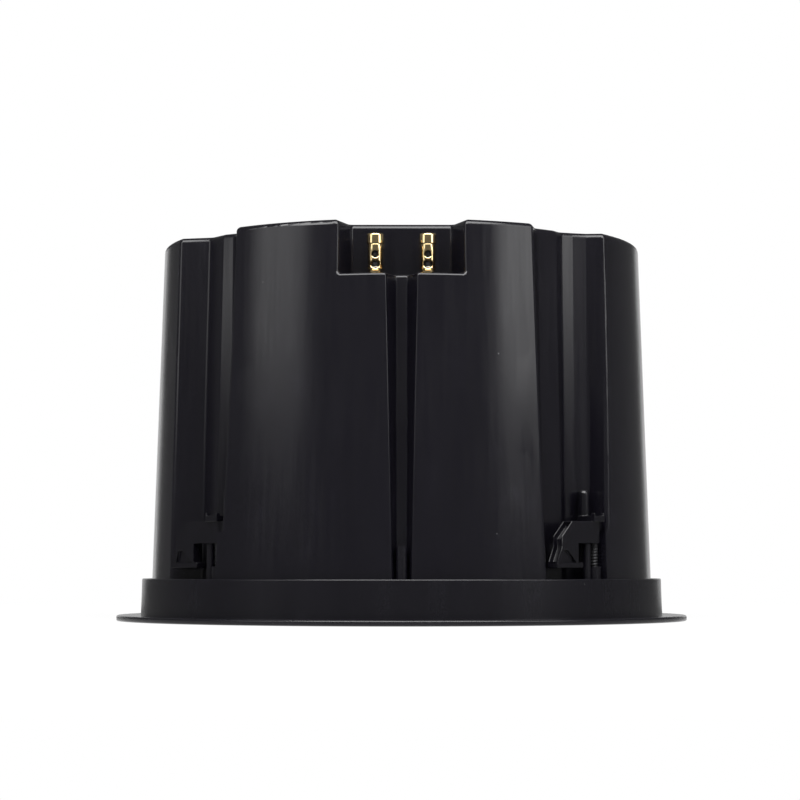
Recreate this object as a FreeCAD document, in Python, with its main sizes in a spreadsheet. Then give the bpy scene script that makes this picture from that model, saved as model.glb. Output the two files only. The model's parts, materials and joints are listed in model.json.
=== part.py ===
import FreeCAD, Part
import math
import os
import Sketcher

# A round in-ceiling loudspeaker with a closed back box, standing on its flange.
# Millimetres. +Z runs from the flange's front face to the back of the box.
# -Y is the side with the wire terminals. Angles about Z are measured from +X.

doc = FreeCAD.newDocument("ceiling_speaker")
sheet = doc.addObject("Spreadsheet::Sheet", "sizes")

# How far a drill runs past the material, how much shorter a rounded edge may be, and one place
OVERRUN = 1.0
SLACK = 1.0
SAME = 1e-6

SIZES = [
    # flange, neck ring and baffle of the frame
    ("flange_radius", 144.0), ("flange_thickness", 2.7), ("flange_round", 0.9), ("front_round", 0.6),
    ("flange_width", 12.7), ("neck_draft", 0.5), ("neck_top", 21.0), ("neck_wall", 2.6),
    ("neck_round", 0.6), ("grille_seat_width", 7.0), ("grille_seat_depth", 1.0),
    ("baffle_front", 13.0), ("baffle_thickness", 3.0), ("woofer_seat_width", 11.4),
    ("pocket_wall", 1.9), ("pocket_land", 0.6), ("pocket_front", 5.0), ("pocket_floor", 2.5),
    # back box
    ("box_depth", 188.0), ("box_inset", 5.0), ("box_draft", 5.4),
    ("box_wall", 2.8), ("box_round", 2.4), ("sill_round", 1.4), ("channel_round", 2.2), ("gasket_thickness", 1.5),
    # clamp channels: radius at the top and growth towards the rim, angle from the clamp screw
    ("channel_reach", 2.0), ("floor_inset", 11.3), ("floor_growth", 3.9),
    ("groove_inset", 13.3), ("groove_growth", 0.6), ("groove_back_inset", 10.9), ("groove_side_inset", 6.9),
    ("side_angle", 2.9), ("back_angle", -0.3), ("groove_angle", -3.2), ("step_angle", -6.6),
    ("floor_angle", -13.0), ("right_mouth_top", 11.0), ("right_mouth_rim", 0.8),
    ("left_mouth_top", -26.5), ("left_mouth_rim", -21.0),
    ("ledge_rise", 22.3), ("ledge_gap", 3.7), ("ledge_width", 5.0), ("ledge_depth", 9.5),
    # terminal recess and the tapered groove under it
    ("recess_depth", 25.4), ("recess_inset", 20.7), ("recess_back_width", 47.0),
    ("recess_mouth_width", 76.0), ("recess_round", 1.6),
    ("flute_top_inset", 9.9), ("flute_top_floor", 5.6), ("flute_top_mouth", 33.0),
    ("flute_rim_inset", 6.2), ("flute_rim_floor", 5.0), ("flute_rim_mouth", 18.6), ("flute_round", 1.0),
    ("peg_radius", 2.6), ("peg_inset", 3.1), ("peg_rise", 15.3),
    # clamps: heights from the underside of the foot
    ("clamp_inset", 5.1), ("right_clamp_angle", 319.0), ("left_clamp_angle", 224.4), ("foot_lift", 5.2),
    ("guide_offset", 5.9), ("guide_radius", 2.0), ("guide_play", 0.3),
    ("boss_radius", 3.4), ("boss_rise", 5.9), ("clamp_screw_radius", 2.0), ("screw_clearance", 0.3),
    ("screw_head_radius", 3.9), ("screw_head_height", 2.4), ("screw_tip", 0.5),
    ("arm_width", 5.6), ("arm_bottom", 11.7), ("arm_top", 22.0), ("arm_length", 32.5),
    ("arm_shoulder", 20.5), ("arm_bend", 28.6), ("arm_bend_top", 14.7), ("arm_bend_bottom", 9.9),
    ("shin_toe", 32.3), ("notch_left", 15.6), ("heel", 12.4), ("foot_thickness", 2.6),
    ("foot_width", 6.2), ("rib_recess", 1.4), ("rib_width", 1.6), ("plate_thickness", 2.7),
    ("plate_front", 4.3), ("plate_left", 5.2), ("plate_right", 3.2), ("plate_margin", 0.2),
    ("lip_height", 1.3), ("lip_width", 1.1),
    ("tower_radius", 3.1), ("tower_tip_radius", 2.75), ("tower_height", 25.2), ("tower_crown", 1.3),
    ("lug_offset", 4.2), ("lug_width", 2.2), ("lug_height", 4.5), ("thread_play", 0.08),
    # wire terminals: heights from the floor of the recess
    ("terminal_spacing", 24.6), ("terminal_lead", 8.4), ("post_radius", 3.25), ("post_height", 14.6),
    ("post_collar_radius", 4.4), ("post_collar", 1.0), ("post_bore", 2.4), ("post_tail", 10.0),
    ("post_tail_radius", 2.9), ("spring_seat", 4.6), ("sleeve_hole_radius", 2.1),
    ("sleeve_hole_height", 4.4),
    ("cap_radius", 4.0), ("cap_gap", 0.2), ("cap_height", 4.8), ("cap_bore", 3.6), ("cap_roof", 1.4),
    ("cap_bevel", 0.6), ("stem_radius", 2.05), ("stem_wall", 1.6), ("wire_hole_radius", 1.6),
    ("press_travel", 3.2), ("nut_radius", 5.2), ("nut_height", 3.0), ("tag_thickness", 0.8),
    ("tag_length", 13.0), ("tag_width", 6.8), ("spring_wire", 0.3), ("spring_turns", 4.0),
    ("spring_radius", 1.6),
    # woofer: heights from the front of the basket flange
    ("basket_inset", 4.2), ("basket_sheet", 1.4), ("basket_seal", 1.0), ("basket_rim_width", 13.4),
    ("basket_knee", 13.4), ("shelf_radius", 58.0), ("shelf_rise", 39.4), ("basket_back_radius", 46.0),
    ("basket_depth", 51.4), ("window_count", 6), ("window_width", 40.0), ("window_bottom", 17.0),
    ("window_top", 35.0),
    ("motor_plate", 6.0), ("motor_plate_radius", 47.0), ("gap_radius", 20.5), ("magnet_height", 18.0),
    ("magnet_radius", 53.0), ("magnet_bore", 27.0), ("yoke_plate", 6.0), ("yoke_radius", 49.0),
    ("pole_radius", 18.0), ("pole_lead", 1.0), ("pole_bore", 5.0),
    ("former_radius", 18.7), ("former_wall", 0.4), ("former_front", 30.4), ("former_overrun", 8.0),
    ("coil_wall", 0.7), ("coil_overhang", 5.0),
    ("surround_span", 9.7), ("cone_lip", 3.6), ("cone_edge_depth", 5.0), ("cone_neck_depth", 31.4),
    ("cone_sheet", 1.0), ("cone_sweep", 160.0),
    ("surround_inset", 10.7), ("surround_lip", 3.4), ("surround_sheet", 1.0), ("roll_fullness", 1.136),
    ("spider_sheet", 0.7), ("spider_rise", 6.0), ("spider_outer", 56.0), ("spider_lip", 13.0),
    ("spider_wave", 1.2), ("spider_waves", 5),
    # tweeter on the pole
    ("stalk_play", 0.05), ("stalk_head", 3.0), ("stalk_lead", 1.0), ("stalk_head_radius", 8.0),
    ("tweeter_radius", 20.0),
    ("tweeter_front", 8.0), ("tweeter_depth", 19.0), ("tweeter_wall", 2.0), ("face_radius", 23.0),
    ("face_thickness", 1.8), ("dome_radius", 12.7), ("dome_height", 4.2), ("dome_sheet", 0.6),
    ("dome_lip", 3.0), ("face_opening", 13.0), ("tweeter_magnet_radius", 14.0),
    ("tweeter_magnet_height", 9.0),
    # crossover board hung from the inside of the box
    ("board_length", 92.0), ("board_width", 62.0), ("board_thickness", 1.6), ("board_centre", 18.0),
    ("board_drop", 12.0), ("standoff_radius", 3.6), ("standoff_inset", 6.0),
    ("pilot_cover", 1.0),
    ("inductor_radius", 15.0), ("inductor_bore", 8.0), ("inductor_height", 16.0), ("inductor_place", 22.0),
    ("capacitor_radius", 7.0), ("capacitor_length", 26.0), ("capacitor_place", 16.0),
    ("capacitor_gap", 10.4),
    ("resistor_length", 24.0), ("resistor_side", 9.0), ("resistor_inset", 1.0),
    # screws; the crown and the side of a head are shares of its radius and height
    ("head_crown", 0.7), ("head_side", 0.4),
    ("woofer_screw_inset", 3.6), ("woofer_screw_count", 8), ("box_screw_inset", 5.9),
    ("front_lobe_angle", 265.8), ("side_lobe_angle", 355.6), ("front_screw_spread", 24.0),
    ("side_screw_spread", 22.0), ("small_screw_radius", 1.6), ("small_head_radius", 3.2),
    ("small_head_height", 2.0), ("small_screw_grip", 11.0), ("hole_play", 0.1),
    ("board_screw_radius", 1.3), ("board_head_radius", 2.6), ("board_screw_grip", 7.0),
    ("box_boss_radius", 3.8), ("box_boss_height", 16.0),
]


class Dim:
    """A size that carries its value and the expression that gives it from the sheet."""

    def __init__(self, text, value):
        self.text = text
        self.value = value

    def _join(self, sign, other, value):
        return Dim(f"({self.text} {sign} {other.text})", value)

    def __add__(self, other):
        other = dim(other)
        return self._join("+", other, self.value + other.value)

    def __sub__(self, other):
        other = dim(other)
        return self._join("-", other, self.value - other.value)

    def __mul__(self, other):
        other = dim(other)
        return self._join("*", other, self.value * other.value)

    def __truediv__(self, other):
        other = dim(other)
        return self._join("/", other, self.value / other.value)

    def __neg__(self):
        return dim(0) - self

    __radd__ = __add__


def dim(number):
    """Gives a plain number the same form as a size from the sheet."""
    return number if isinstance(number, Dim) else Dim(repr(float(number)), float(number))


def cos(angle):
    angle = dim(angle)
    return Dim(f"cos({angle.text})", math.cos(math.radians(angle.value)))


def sin(angle):
    angle = dim(angle)
    return Dim(f"sin({angle.text})", math.sin(math.radians(angle.value)))


def root(size):
    return Dim(f"sqrt({size.text})", math.sqrt(size.value))


class Sizes:
    """Each alias of the sheet as a Dim."""


S = Sizes()
for row, (alias, number) in enumerate(SIZES, start=1):
    sheet.set(f"A{row}", alias)
    sheet.set(f"B{row}", str(number))
    sheet.setAlias(f"B{row}", alias)
    setattr(S, alias, Dim(f"sizes.{alias}", float(number)))
doc.recompute()

# helpers


def bind(obj, **properties):
    """Ties properties to the sheet; a double underscore stands for a dot."""
    for name, size in properties.items():
        obj.setExpression(name.replace("__", "."), dim(size).text)
    return obj


def place(obj, x=0, y=0, z=0, turn=None):
    """Places an object, with an optional turn about Z."""
    angle = dim(0 if turn is None else turn)
    rotation = FreeCAD.Rotation(FreeCAD.Vector(0, 0, 1), angle.value)
    obj.Placement = FreeCAD.Placement(FreeCAD.Vector(dim(x).value, dim(y).value, dim(z).value), rotation)
    bind(obj, Placement__Base__x=x, Placement__Base__y=y, Placement__Base__z=z)
    if turn is not None:
        bind(obj, Placement__Rotation__Angle=turn)
    return obj


def make(kind, name):
    return doc.addObject(kind, name)


def cylinder(name, radius, bottom, top, x=0, y=0):
    post = bind(make("Part::Cylinder", name), Radius=radius, Height=dim(top) - bottom)
    return place(post, x, y, bottom)


def cone(name, bottom_radius, top_radius, bottom, top, x=0, y=0):
    post = make("Part::Cone", name)
    bind(post, Radius1=bottom_radius, Radius2=top_radius, Height=dim(top) - bottom)
    return place(post, x, y, bottom)


def block(name, low, high):
    """A box between two corners."""
    low = [dim(v) for v in low]
    high = [dim(v) for v in high]
    box = make("Part::Box", name)
    bind(box, Length=high[0] - low[0], Width=high[1] - low[1], Height=high[2] - low[2])
    return place(box, *low)


def cut(name, base, tool):
    both = make("Part::Cut", name)
    both.Base = base
    both.Tool = tool
    return both


def common(name, base, tool):
    both = make("Part::Common", name)
    both.Base = base
    both.Tool = tool
    return both


def fuse(name, shapes):
    joined = make("Part::MultiFuse", name)
    joined.Shapes = shapes
    joined.Refine = True
    return joined


def gather(name, members):
    """Several separate solids as one object."""
    group = make("Part::Compound", name)
    group.Links = members
    return group


def copy_at(name, form, x=0, y=0, z=0, turn=None):
    """The same form again, in another place."""
    return place(gather(name, [form]), x, y, z, turn)


def outline(sketch, points):
    """Draws a closed outline. A point (x, y) ends a line; (x, y, radius, way) ends an arc."""
    ends = [FreeCAD.Vector(dim(p[0]).value, dim(p[1]).value, 0) for p in points]
    for i, point in enumerate(points):
        start, end = ends[i - 1], ends[i]
        if len(point) == 2:
            sketch.addGeometry(Part.LineSegment(start, end))
            continue
        radius, way = dim(point[2]), point[3]
        chord = end - start
        rise = math.sqrt(max(radius.value ** 2 - (chord.Length / 2) ** 2, 0))
        side = FreeCAD.Vector(-chord.y, chord.x, 0).normalize() * (rise * way)
        centre = (start + end) * 0.5 + side
        bulge = centre - side.normalize() * radius.value if rise else centre
        sketch.addGeometry(Part.Arc(start, bulge, end))
    count = len(points)
    for i, point in enumerate(points):
        follower = (i + 1) % count
        here = finish_of(sketch, i, ends[i])
        there = start_of(sketch, follower, ends[i])
        sketch.addConstraint(Sketcher.Constraint("Coincident", i, here, follower, there))
        for axis, size in (("DistanceX", dim(point[0])), ("DistanceY", dim(point[1]))):
            fix_point(sketch, axis, i, here, size)
        if len(point) == 4:
            index = sketch.addConstraint(Sketcher.Constraint("Radius", i, dim(point[2]).value))
            sketch.setExpression(f"Constraints[{index}]", dim(point[2]).text)


def fix_point(sketch, axis, geometry, end, size):
    """Ties one coordinate of a point to the sheet."""
    if size.text in ("0.0", "-0.0"):
        line = -2 if axis == "DistanceX" else -1
        sketch.addConstraint(Sketcher.Constraint("PointOnObject", geometry, end, line))
        return
    index = sketch.addConstraint(Sketcher.Constraint(axis, -1, 1, geometry, end, size.value))
    sketch.setExpression(f"Constraints[{index}]", size.text)


def finish_of(sketch, geometry, point):
    """Which end of a piece of outline lies at its last point: an arc may run either way."""
    return 2 if (sketch.getPoint(geometry, 2) - point).Length < SAME else 1


def start_of(sketch, geometry, point):
    return 1 if (sketch.getPoint(geometry, 1) - point).Length < SAME else 2


def flat_sketch(name, points, height=0):
    """A horizontal outline at a height."""
    sketch = make("Sketcher::SketchObject", name)
    outline(sketch, points)
    return place(sketch, 0, 0, height)


def origin_plane(body, role):
    return next(f for f in body.Origin.OriginFeatures if f.Role == role)


def turned(label, points):
    """A body turned about Z from an outline of (radius, height) points."""
    body = make("PartDesign::Body", label)
    sketch = body.newObject("Sketcher::SketchObject", f"{label}_section")
    sketch.AttachmentSupport = [(origin_plane(body, "XZ_Plane"), "")]
    sketch.MapMode = "FlatFace"
    outline(sketch, points)
    spin = body.newObject("PartDesign::Revolution", f"{label}_turn")
    spin.Profile = sketch
    spin.ReferenceAxis = (sketch, ["V_Axis"])
    spin.Angle = 360
    return body


def extrusion(name, profile, length, down=False):
    prism = make("Part::Extrusion", name)
    prism.Base = profile
    prism.DirMode = "Custom"
    prism.Dir = FreeCAD.Vector(0, 0, -1 if down else 1)
    prism.Solid = True
    return bind(prism, LengthFwd=length)


def side_extrusion(name, points, width, middle=0):
    """A solid drawn in the YZ plane and given a width along X, about a middle plane."""
    sketch = make("Sketcher::SketchObject", f"{name}_section")
    outline(sketch, points)
    upright = FreeCAD.Rotation(FreeCAD.Vector(1, 1, 1), 120)
    sketch.Placement = FreeCAD.Placement(FreeCAD.Vector(dim(middle).value, 0, 0), upright)
    bind(sketch, Placement__Base__x=middle)
    prism = make("Part::Extrusion", name)
    prism.Base = sketch
    prism.DirMode = "Custom"
    prism.Dir = FreeCAD.Vector(1, 0, 0)
    prism.Solid = True
    prism.Symmetric = True
    return bind(prism, LengthFwd=width)


def loft(name, sections):
    skin = make("Part::Loft", name)
    skin.Sections = sections
    skin.Solid = True
    skin.Ruled = True
    return skin


def grown(name, profile, by):
    """The same outline, offset outwards."""
    wider = make("Part::Offset2D", name)
    wider.Source = profile
    wider.Join = 2
    return bind(wider, Value=by)


def polar(radius, angle):
    return dim(radius) * cos(angle), dim(radius) * sin(angle)


def rise(edge):
    """How far an edge climbs."""
    heights = [v.Point.z for v in edge.Vertexes]
    return max(heights) - min(heights)


def rounded(name, base, radius_of):
    """Rounds the edges between two faces for which a rule gives a radius."""
    doc.recompute()
    fillet = make("Part::Fillet", name)
    fillet.Base = base
    sizes = []
    for i, edge in enumerate(base.Shape.Edges, start=1):
        radius = radius_of(edge)
        if radius and len(base.Shape.ancestorsOfType(edge, Part.Face)) == 2:
            sizes.append((i, radius.value, radius.value))
    fillet.Edges = sizes
    return fillet


# radii that follow the flange, from the outside in

neck_radius = S.flange_radius - S.flange_width
grille_seat_radius = S.flange_radius - S.grille_seat_width
channel_outer = S.flange_radius + S.channel_reach
mouth_radius = S.flange_radius - S.channel_reach
box_rim_radius = neck_radius - S.box_inset
box_top_radius = box_rim_radius - S.box_draft
floor_top = box_top_radius - S.floor_inset
groove_top = box_top_radius - S.groove_inset
groove_back = box_top_radius - S.groove_back_inset
groove_side = box_top_radius - S.groove_side_inset
clamp_radius = box_rim_radius - S.clamp_inset
box_screw_circle = box_rim_radius - S.box_screw_inset
recess_back = box_top_radius - S.recess_inset
terminal_depth = recess_back + S.terminal_lead
flute_top_depth = box_top_radius - S.flute_top_inset
flute_rim_depth = box_rim_radius - S.flute_rim_inset
basket_radius = groove_top - S.basket_inset
woofer_screw_circle = basket_radius - S.woofer_screw_inset
basket_throat = basket_radius - S.basket_rim_width
woofer_opening = basket_radius - S.woofer_seat_width
surround_outer = basket_radius - S.surround_inset
cone_edge_radius = surround_outer - S.surround_span

# places shared by several pieces

baffle_back = S.baffle_front + S.baffle_thickness
rim = baffle_back + S.gasket_thickness
neck_inside = neck_radius - S.neck_wall
recess_floor = S.box_depth - S.recess_depth
roof = S.box_depth - S.box_wall
foot_height = S.neck_top + S.foot_lift
guide_top = foot_height + S.arm_bottom - S.guide_play
pocket_bottom = S.pocket_front + S.pocket_floor
clamp_hole = S.clamp_screw_radius + S.screw_clearance
small_hole = S.small_screw_radius + S.hole_play
board_hole = S.board_screw_radius + S.hole_play
clamp_angles = [S.right_clamp_angle, S.left_clamp_angle, S.right_clamp_angle - 180, S.left_clamp_angle - 180]
front_and_back = [dim(0), dim(180)]
lobes = [(S.front_lobe_angle, S.front_screw_spread), (S.side_lobe_angle, S.side_screw_spread)]
box_screw_angles = []
for half_turn in front_and_back:
    for lobe, spread in lobes:
        box_screw_angles += [lobe - spread + half_turn, lobe + spread + half_turn]
woofer_screw_angles = [dim(360) / S.woofer_screw_count * i for i in range(int(S.woofer_screw_count.value))]
nodes = {}


def node(label, obj):
    """Names a finished sub-part."""
    obj.Label = label
    nodes[label] = obj
    return obj


def ring_of(name, form, radius, angles, z=0):
    """One form repeated round a circle."""
    return [copy_at(f"{name}_{i}", form, *polar(radius, a), z, a) for i, a in enumerate(angles, start=1)]


# outlines of the hollows in the box; a channel is drawn about a clamp screw that lies on +X


def channel_outline(floor_growth, groove_growth, right_mouth, left_mouth):
    return [
        polar(channel_outer, right_mouth),
        polar(groove_side + groove_growth, S.side_angle),
        polar(groove_back + groove_growth, S.back_angle),
        polar(groove_top + groove_growth, S.groove_angle),
        polar(floor_top + floor_growth, S.step_angle),
        polar(floor_top + floor_growth, S.floor_angle),
        polar(channel_outer, left_mouth),
    ]


def wedge_outline(back, back_width, mouth, mouth_width):
    half_back = back_width / 2
    half_mouth = mouth_width / 2
    return [(-half_back, -back), (half_back, -back), (half_mouth, -mouth), (-half_mouth, -mouth)]


rim_outline = channel_outline(S.floor_growth, S.groove_growth, S.right_mouth_rim, S.left_mouth_rim)
channel_rim = flat_sketch("channel_rim", rim_outline, rim)
channel_top = flat_sketch(
    "channel_top", channel_outline(dim(0), dim(0), S.right_mouth_top, S.left_mouth_top), S.box_depth)
recess_plan = flat_sketch(
    "recess_plan", wedge_outline(recess_back, S.recess_back_width, mouth_radius, S.recess_mouth_width),
    recess_floor)
flute_rim = flat_sketch(
    "flute_rim", wedge_outline(flute_rim_depth, S.flute_rim_floor, mouth_radius, S.flute_rim_mouth), rim)
flute_top = flat_sketch(
    "flute_top", wedge_outline(flute_top_depth, S.flute_top_floor, mouth_radius, S.flute_top_mouth),
    recess_floor)

# back box: a drafted drum with four clamp channels, the terminal recess and two flutes


def box_hollow(prefix, channels, recess, flutes):
    """Channels, recess and flutes from one set of outlines, in their places."""
    cutters = [recess]
    for i, angle in enumerate(clamp_angles):
        cutters.append(place(loft(f"{prefix}_channel_{i}", channels), turn=angle))
    for i, angle in enumerate(front_and_back):
        cutters.append(place(loft(f"{prefix}_flute_{i}", flutes), turn=angle))
    return fuse(f"{prefix}_hollow", cutters)


channel_rim_in = grown("channel_rim_in", channel_rim, S.box_wall)
channel_top_in = grown("channel_top_in", channel_top, S.box_wall)
flute_rim_in = grown("flute_rim_in", flute_rim, S.box_wall)
flute_top_in = grown("flute_top_in", flute_top, S.box_wall)
recess_out = extrusion("recess_out", recess_plan, S.recess_depth)
recess_plan_in = grown("recess_plan_in", recess_plan, S.box_wall)
recess_in = extrusion("recess_in", recess_plan_in, S.recess_depth + S.box_wall)
place(recess_in, 0, 0, -S.box_wall)

drum = cone("drum", box_rim_radius, box_top_radius, rim, S.box_depth)
cored = cone("cored", box_rim_radius - S.box_wall, box_top_radius - S.box_wall, rim, roof)
outside = cut(
    "box_outside", drum,
    box_hollow("outer", [channel_rim, channel_top], recess_out, [flute_rim, flute_top]))
inside = cut(
    "box_inside", cored,
    box_hollow("inner", [channel_rim_in, channel_top_in], recess_in, [flute_rim_in, flute_top_in]))


def upright_radius(edge):
    """Channels run the full height, flutes up to the recess, and the recess from there to the top."""
    height = rise(edge)
    if height > S.box_depth.value - rim.value - SLACK:
        return S.channel_round
    if height > recess_floor.value - rim.value - SLACK:
        return S.flute_round
    return S.recess_round if height > S.recess_depth.value - SLACK else None


def brim_radius(edge):
    """The edge round the top of the box."""
    return S.box_round if min(v.Point.z for v in edge.Vertexes) > S.box_depth.value - SAME else None


def sill_radius(edge):
    """The front edge of the recess floor, with the flute's mouth in it."""
    centre = edge.CenterOfMass
    level = abs(centre.z - recess_floor.value) < SAME and rise(edge) < SAME
    outer = math.hypot(centre.x, centre.y) > flute_top_depth.value - SLACK
    return S.sill_round if level and outer else None


def wall_radius(edge):
    """Uprights and the sill are rounded in one go, because they meet."""
    return sill_radius(edge) or upright_radius(edge)


eased = rounded("box_eased", rounded("box_walls", outside, wall_radius), brim_radius)
ledge_form = block(
    "ledge_form", (clamp_radius - S.ledge_depth, S.ledge_gap, rim),
    (channel_outer, S.ledge_gap + S.ledge_width, S.neck_top + S.ledge_rise))
ledges = [copy_at(f"ledge_{i}", ledge_form, turn=a) for i, a in enumerate(clamp_angles)]
ledged = fuse("box_ledged", [eased, common("ledges", drum, fuse("ledge_blocks", ledges))])

board_top = roof - S.board_drop
standoffs = []
board_corners = []
for side_x in (-1, 1):
    for side_y in (-1, 1):
        x = (S.board_length / 2 - S.standoff_inset) * side_x
        y = S.board_centre + (S.board_width / 2 - S.standoff_inset) * side_y
        board_corners.append((x, y))
        number = len(standoffs)
        post = cylinder(f"standoff_{number}", S.standoff_radius, board_top, roof, x, y)
        pilot = cylinder(f"standoff_pilot_{number}", board_hole, board_top, roof - S.pilot_cover, x, y)
        standoffs.append(cut(f"standoff_drilled_{number}", post, pilot))

boss_post = cylinder("boss_post", S.box_boss_radius, rim, rim + S.box_boss_height)
boss_bore = cylinder("boss_bore", small_hole, rim, rim + S.box_boss_height - S.box_wall)
bosses = ring_of("box_boss", cut("boss_form", boss_post, boss_bore), box_screw_circle, box_screw_angles)
boss_holes = ring_of("box_boss_hole", boss_bore, box_screw_circle, box_screw_angles)
terminal_sides = [("left", -(S.terminal_spacing / 2)), ("right", S.terminal_spacing / 2)]
terminal_holes = [
    cylinder(f"terminal_hole_{side}", S.post_tail_radius + S.hole_play, recess_floor - S.box_wall - OVERRUN,
             recess_floor + OVERRUN, x, -terminal_depth)
    for side, x in terminal_sides]
shell = cut("box_shell", ledged, inside)
walled = cut("box_drilled", shell, fuse("box_holes", terminal_holes + boss_holes))
node("back_box", fuse("back_box", [walled] + bosses + standoffs))

# gasket under the rim of the box

gasket_disc = cylinder("gasket_disc", box_rim_radius, baffle_back, rim)
gasket_core = cylinder("gasket_core", box_rim_radius - S.box_wall, baffle_back, rim)


def gasket_cut(prefix, disc, channel, flute):
    notches = []
    for i, angle in enumerate(clamp_angles):
        notch = extrusion(f"{prefix}_channel_{i}", channel, S.gasket_thickness, down=True)
        notches.append(place(notch, turn=angle))
    for i, angle in enumerate(front_and_back):
        notch = extrusion(f"{prefix}_flute_{i}", flute, S.gasket_thickness, down=True)
        notches.append(place(notch, turn=angle))
    return cut(f"{prefix}_plan", disc, fuse(f"{prefix}_notches", notches))


gasket_outer = gasket_cut("gasket_outer", gasket_disc, channel_rim, flute_rim)
gasket_inner = gasket_cut("gasket_inner", gasket_core, channel_rim_in, flute_rim_in)
node("box_gasket", cut("box_gasket", gasket_outer, gasket_inner))

# frame: flange, neck ring, baffle, clamp pockets with bosses and guide posts, two pegs

front_wall = neck_inside - S.front_round
frame_ring = turned("frame_ring", [
    (woofer_opening, S.baffle_front),
    (woofer_opening, baffle_back),
    (neck_inside, baffle_back),
    (neck_inside, S.neck_top),
    (neck_radius - S.neck_round, S.neck_top),
    (neck_radius, S.neck_top - S.neck_round, S.neck_round, -1),
    (neck_radius + S.neck_draft, S.flange_thickness),
    (S.flange_radius - S.flange_round, S.flange_thickness),
    (S.flange_radius, S.flange_thickness - S.flange_round, S.flange_round, -1),
    (S.flange_radius, S.front_round),
    (S.flange_radius - S.front_round, 0, S.front_round, -1),
    (grille_seat_radius, 0),
    (grille_seat_radius, S.grille_seat_depth),
    (front_wall, S.grille_seat_depth),
    (front_wall, S.baffle_front),
])
pocket_plan = grown("pocket_plan", channel_rim, -S.pocket_land)
pocket_block_plan = grown("pocket_block_plan", channel_rim, S.pocket_wall)
boss_top = S.neck_top + S.boss_rise
pocket_blocks = []
pocket_hollows = []
frame_posts = []
frame_holes = []
for i, angle in enumerate(clamp_angles):
    lump = extrusion(f"pocket_block_{i}", pocket_block_plan, baffle_back - S.pocket_front, down=True)
    pocket_blocks.append(place(lump, 0, 0, -S.gasket_thickness, angle))
    hollow = extrusion(f"pocket_hollow_{i}", pocket_plan, rim - pocket_bottom, down=True)
    pocket_hollows.append(place(hollow, turn=angle))
    axis = polar(clamp_radius, angle)
    guide = (axis[0] + S.guide_offset * sin(angle), axis[1] - S.guide_offset * cos(angle))
    frame_posts.append(cylinder(f"screw_boss_{i}", S.boss_radius, S.pocket_front, boss_top, *axis))
    frame_posts.append(cylinder(f"guide_post_{i}", S.guide_radius, S.pocket_front, guide_top, *guide))
    frame_holes.append(
        cylinder(f"clamp_hole_{i}", clamp_hole, S.pocket_front - OVERRUN, boss_top + OVERRUN, *axis))
for i, angle in enumerate(front_and_back):
    x, y = polar(box_rim_radius - S.peg_inset, angle - 90)
    frame_posts.append(cylinder(f"peg_{i}", S.peg_radius, S.baffle_front, S.neck_top + S.peg_rise, x, y))
through = cylinder("through_hole", small_hole, S.baffle_front - OVERRUN, baffle_back + OVERRUN)
frame_holes += ring_of("box_screw_hole", through, box_screw_circle, box_screw_angles)
frame_holes += ring_of("woofer_screw_hole", through, woofer_screw_circle, woofer_screw_angles)
inside_neck = cylinder("inside_neck", neck_inside, 0, S.neck_top)
into_neck = cylinder("into_neck", neck_inside + S.neck_wall / 2, 0, S.neck_top)
pocket_lumps = common("pocket_lumps", into_neck, fuse("lumps", pocket_blocks))
pocket_rooms = common("pocket_rooms", inside_neck, fuse("rooms", pocket_hollows))
frame_blocked = fuse("frame_blocked", [frame_ring, pocket_lumps])
frame_open = cut("frame_open", frame_blocked, pocket_rooms)
frame_posted = fuse("frame_posted", [frame_open] + frame_posts)
node("mounting_frame", cut("mounting_frame", frame_posted, fuse("frame_drilling", frame_holes)))

# screws: heads towards the front


def screw_form(name, head_radius, head_height, radius, length):
    return turned(name, [
        (0, -head_height),
        (head_radius * S.head_crown, -head_height),
        (head_radius, -(head_height * S.head_side)),
        (head_radius, 0),
        (radius, 0),
        (radius, length),
        (0, length),
    ])


small_screw = screw_form(
    "small_screw", S.small_head_radius, S.small_head_height, S.small_screw_radius, S.small_screw_grip)
board_screw = screw_form(
    "board_screw", S.board_head_radius, S.small_head_height, S.board_screw_radius, S.board_screw_grip)
clamp_screw = screw_form(
    "clamp_screw", S.screw_head_radius, S.screw_head_height, S.clamp_screw_radius,
    foot_height + S.arm_top + S.plate_thickness - S.screw_tip - S.pocket_front)
node("box_screws", gather("box_screws", ring_of(
    "box_screw", small_screw, box_screw_circle, box_screw_angles, S.baffle_front)))

# swing clamps, drawn with the screw on Z, outwards along +X and the arm along -Y

arm = side_extrusion("clamp_arm", [
    (0, S.arm_bottom),
    (-S.notch_left, S.arm_bottom),
    (-S.notch_left, S.foot_thickness / 2),
    (-S.shin_toe, S.foot_thickness / 2),
    (-S.shin_toe, S.foot_thickness),
    (-S.arm_bend, S.arm_bend_bottom),
    (-S.arm_bend, S.arm_bend_top),
    (-S.arm_shoulder, S.arm_top),
    (0, S.arm_top),
], S.arm_width)
hub = cylinder("clamp_hub", S.arm_width / 2, S.arm_bottom, S.arm_top)
foot = block(
    "clamp_foot", (-(S.foot_width / 2), -S.arm_length, 0),
    (S.foot_width / 2, -S.heel, S.foot_thickness))
plate_top = S.arm_top + S.plate_thickness
plate = block(
    "clamp_plate", (-S.guide_offset, -S.plate_left, S.arm_top),
    (S.plate_front, S.plate_right, plate_top))
plate_end_radius = S.tower_radius + S.plate_margin
plate_end = cylinder("clamp_plate_end", plate_end_radius, S.arm_top, plate_top, -S.guide_offset)
tower_top = S.arm_bottom + S.tower_height - S.tower_crown
tower = cone("clamp_tower", S.tower_radius, S.tower_tip_radius, S.arm_bottom, tower_top, -S.guide_offset)
crown = cone("clamp_crown", S.tower_tip_radius, S.tower_tip_radius - S.tower_crown / 2, tower_top,
             tower_top + S.tower_crown, -S.guide_offset)
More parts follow.
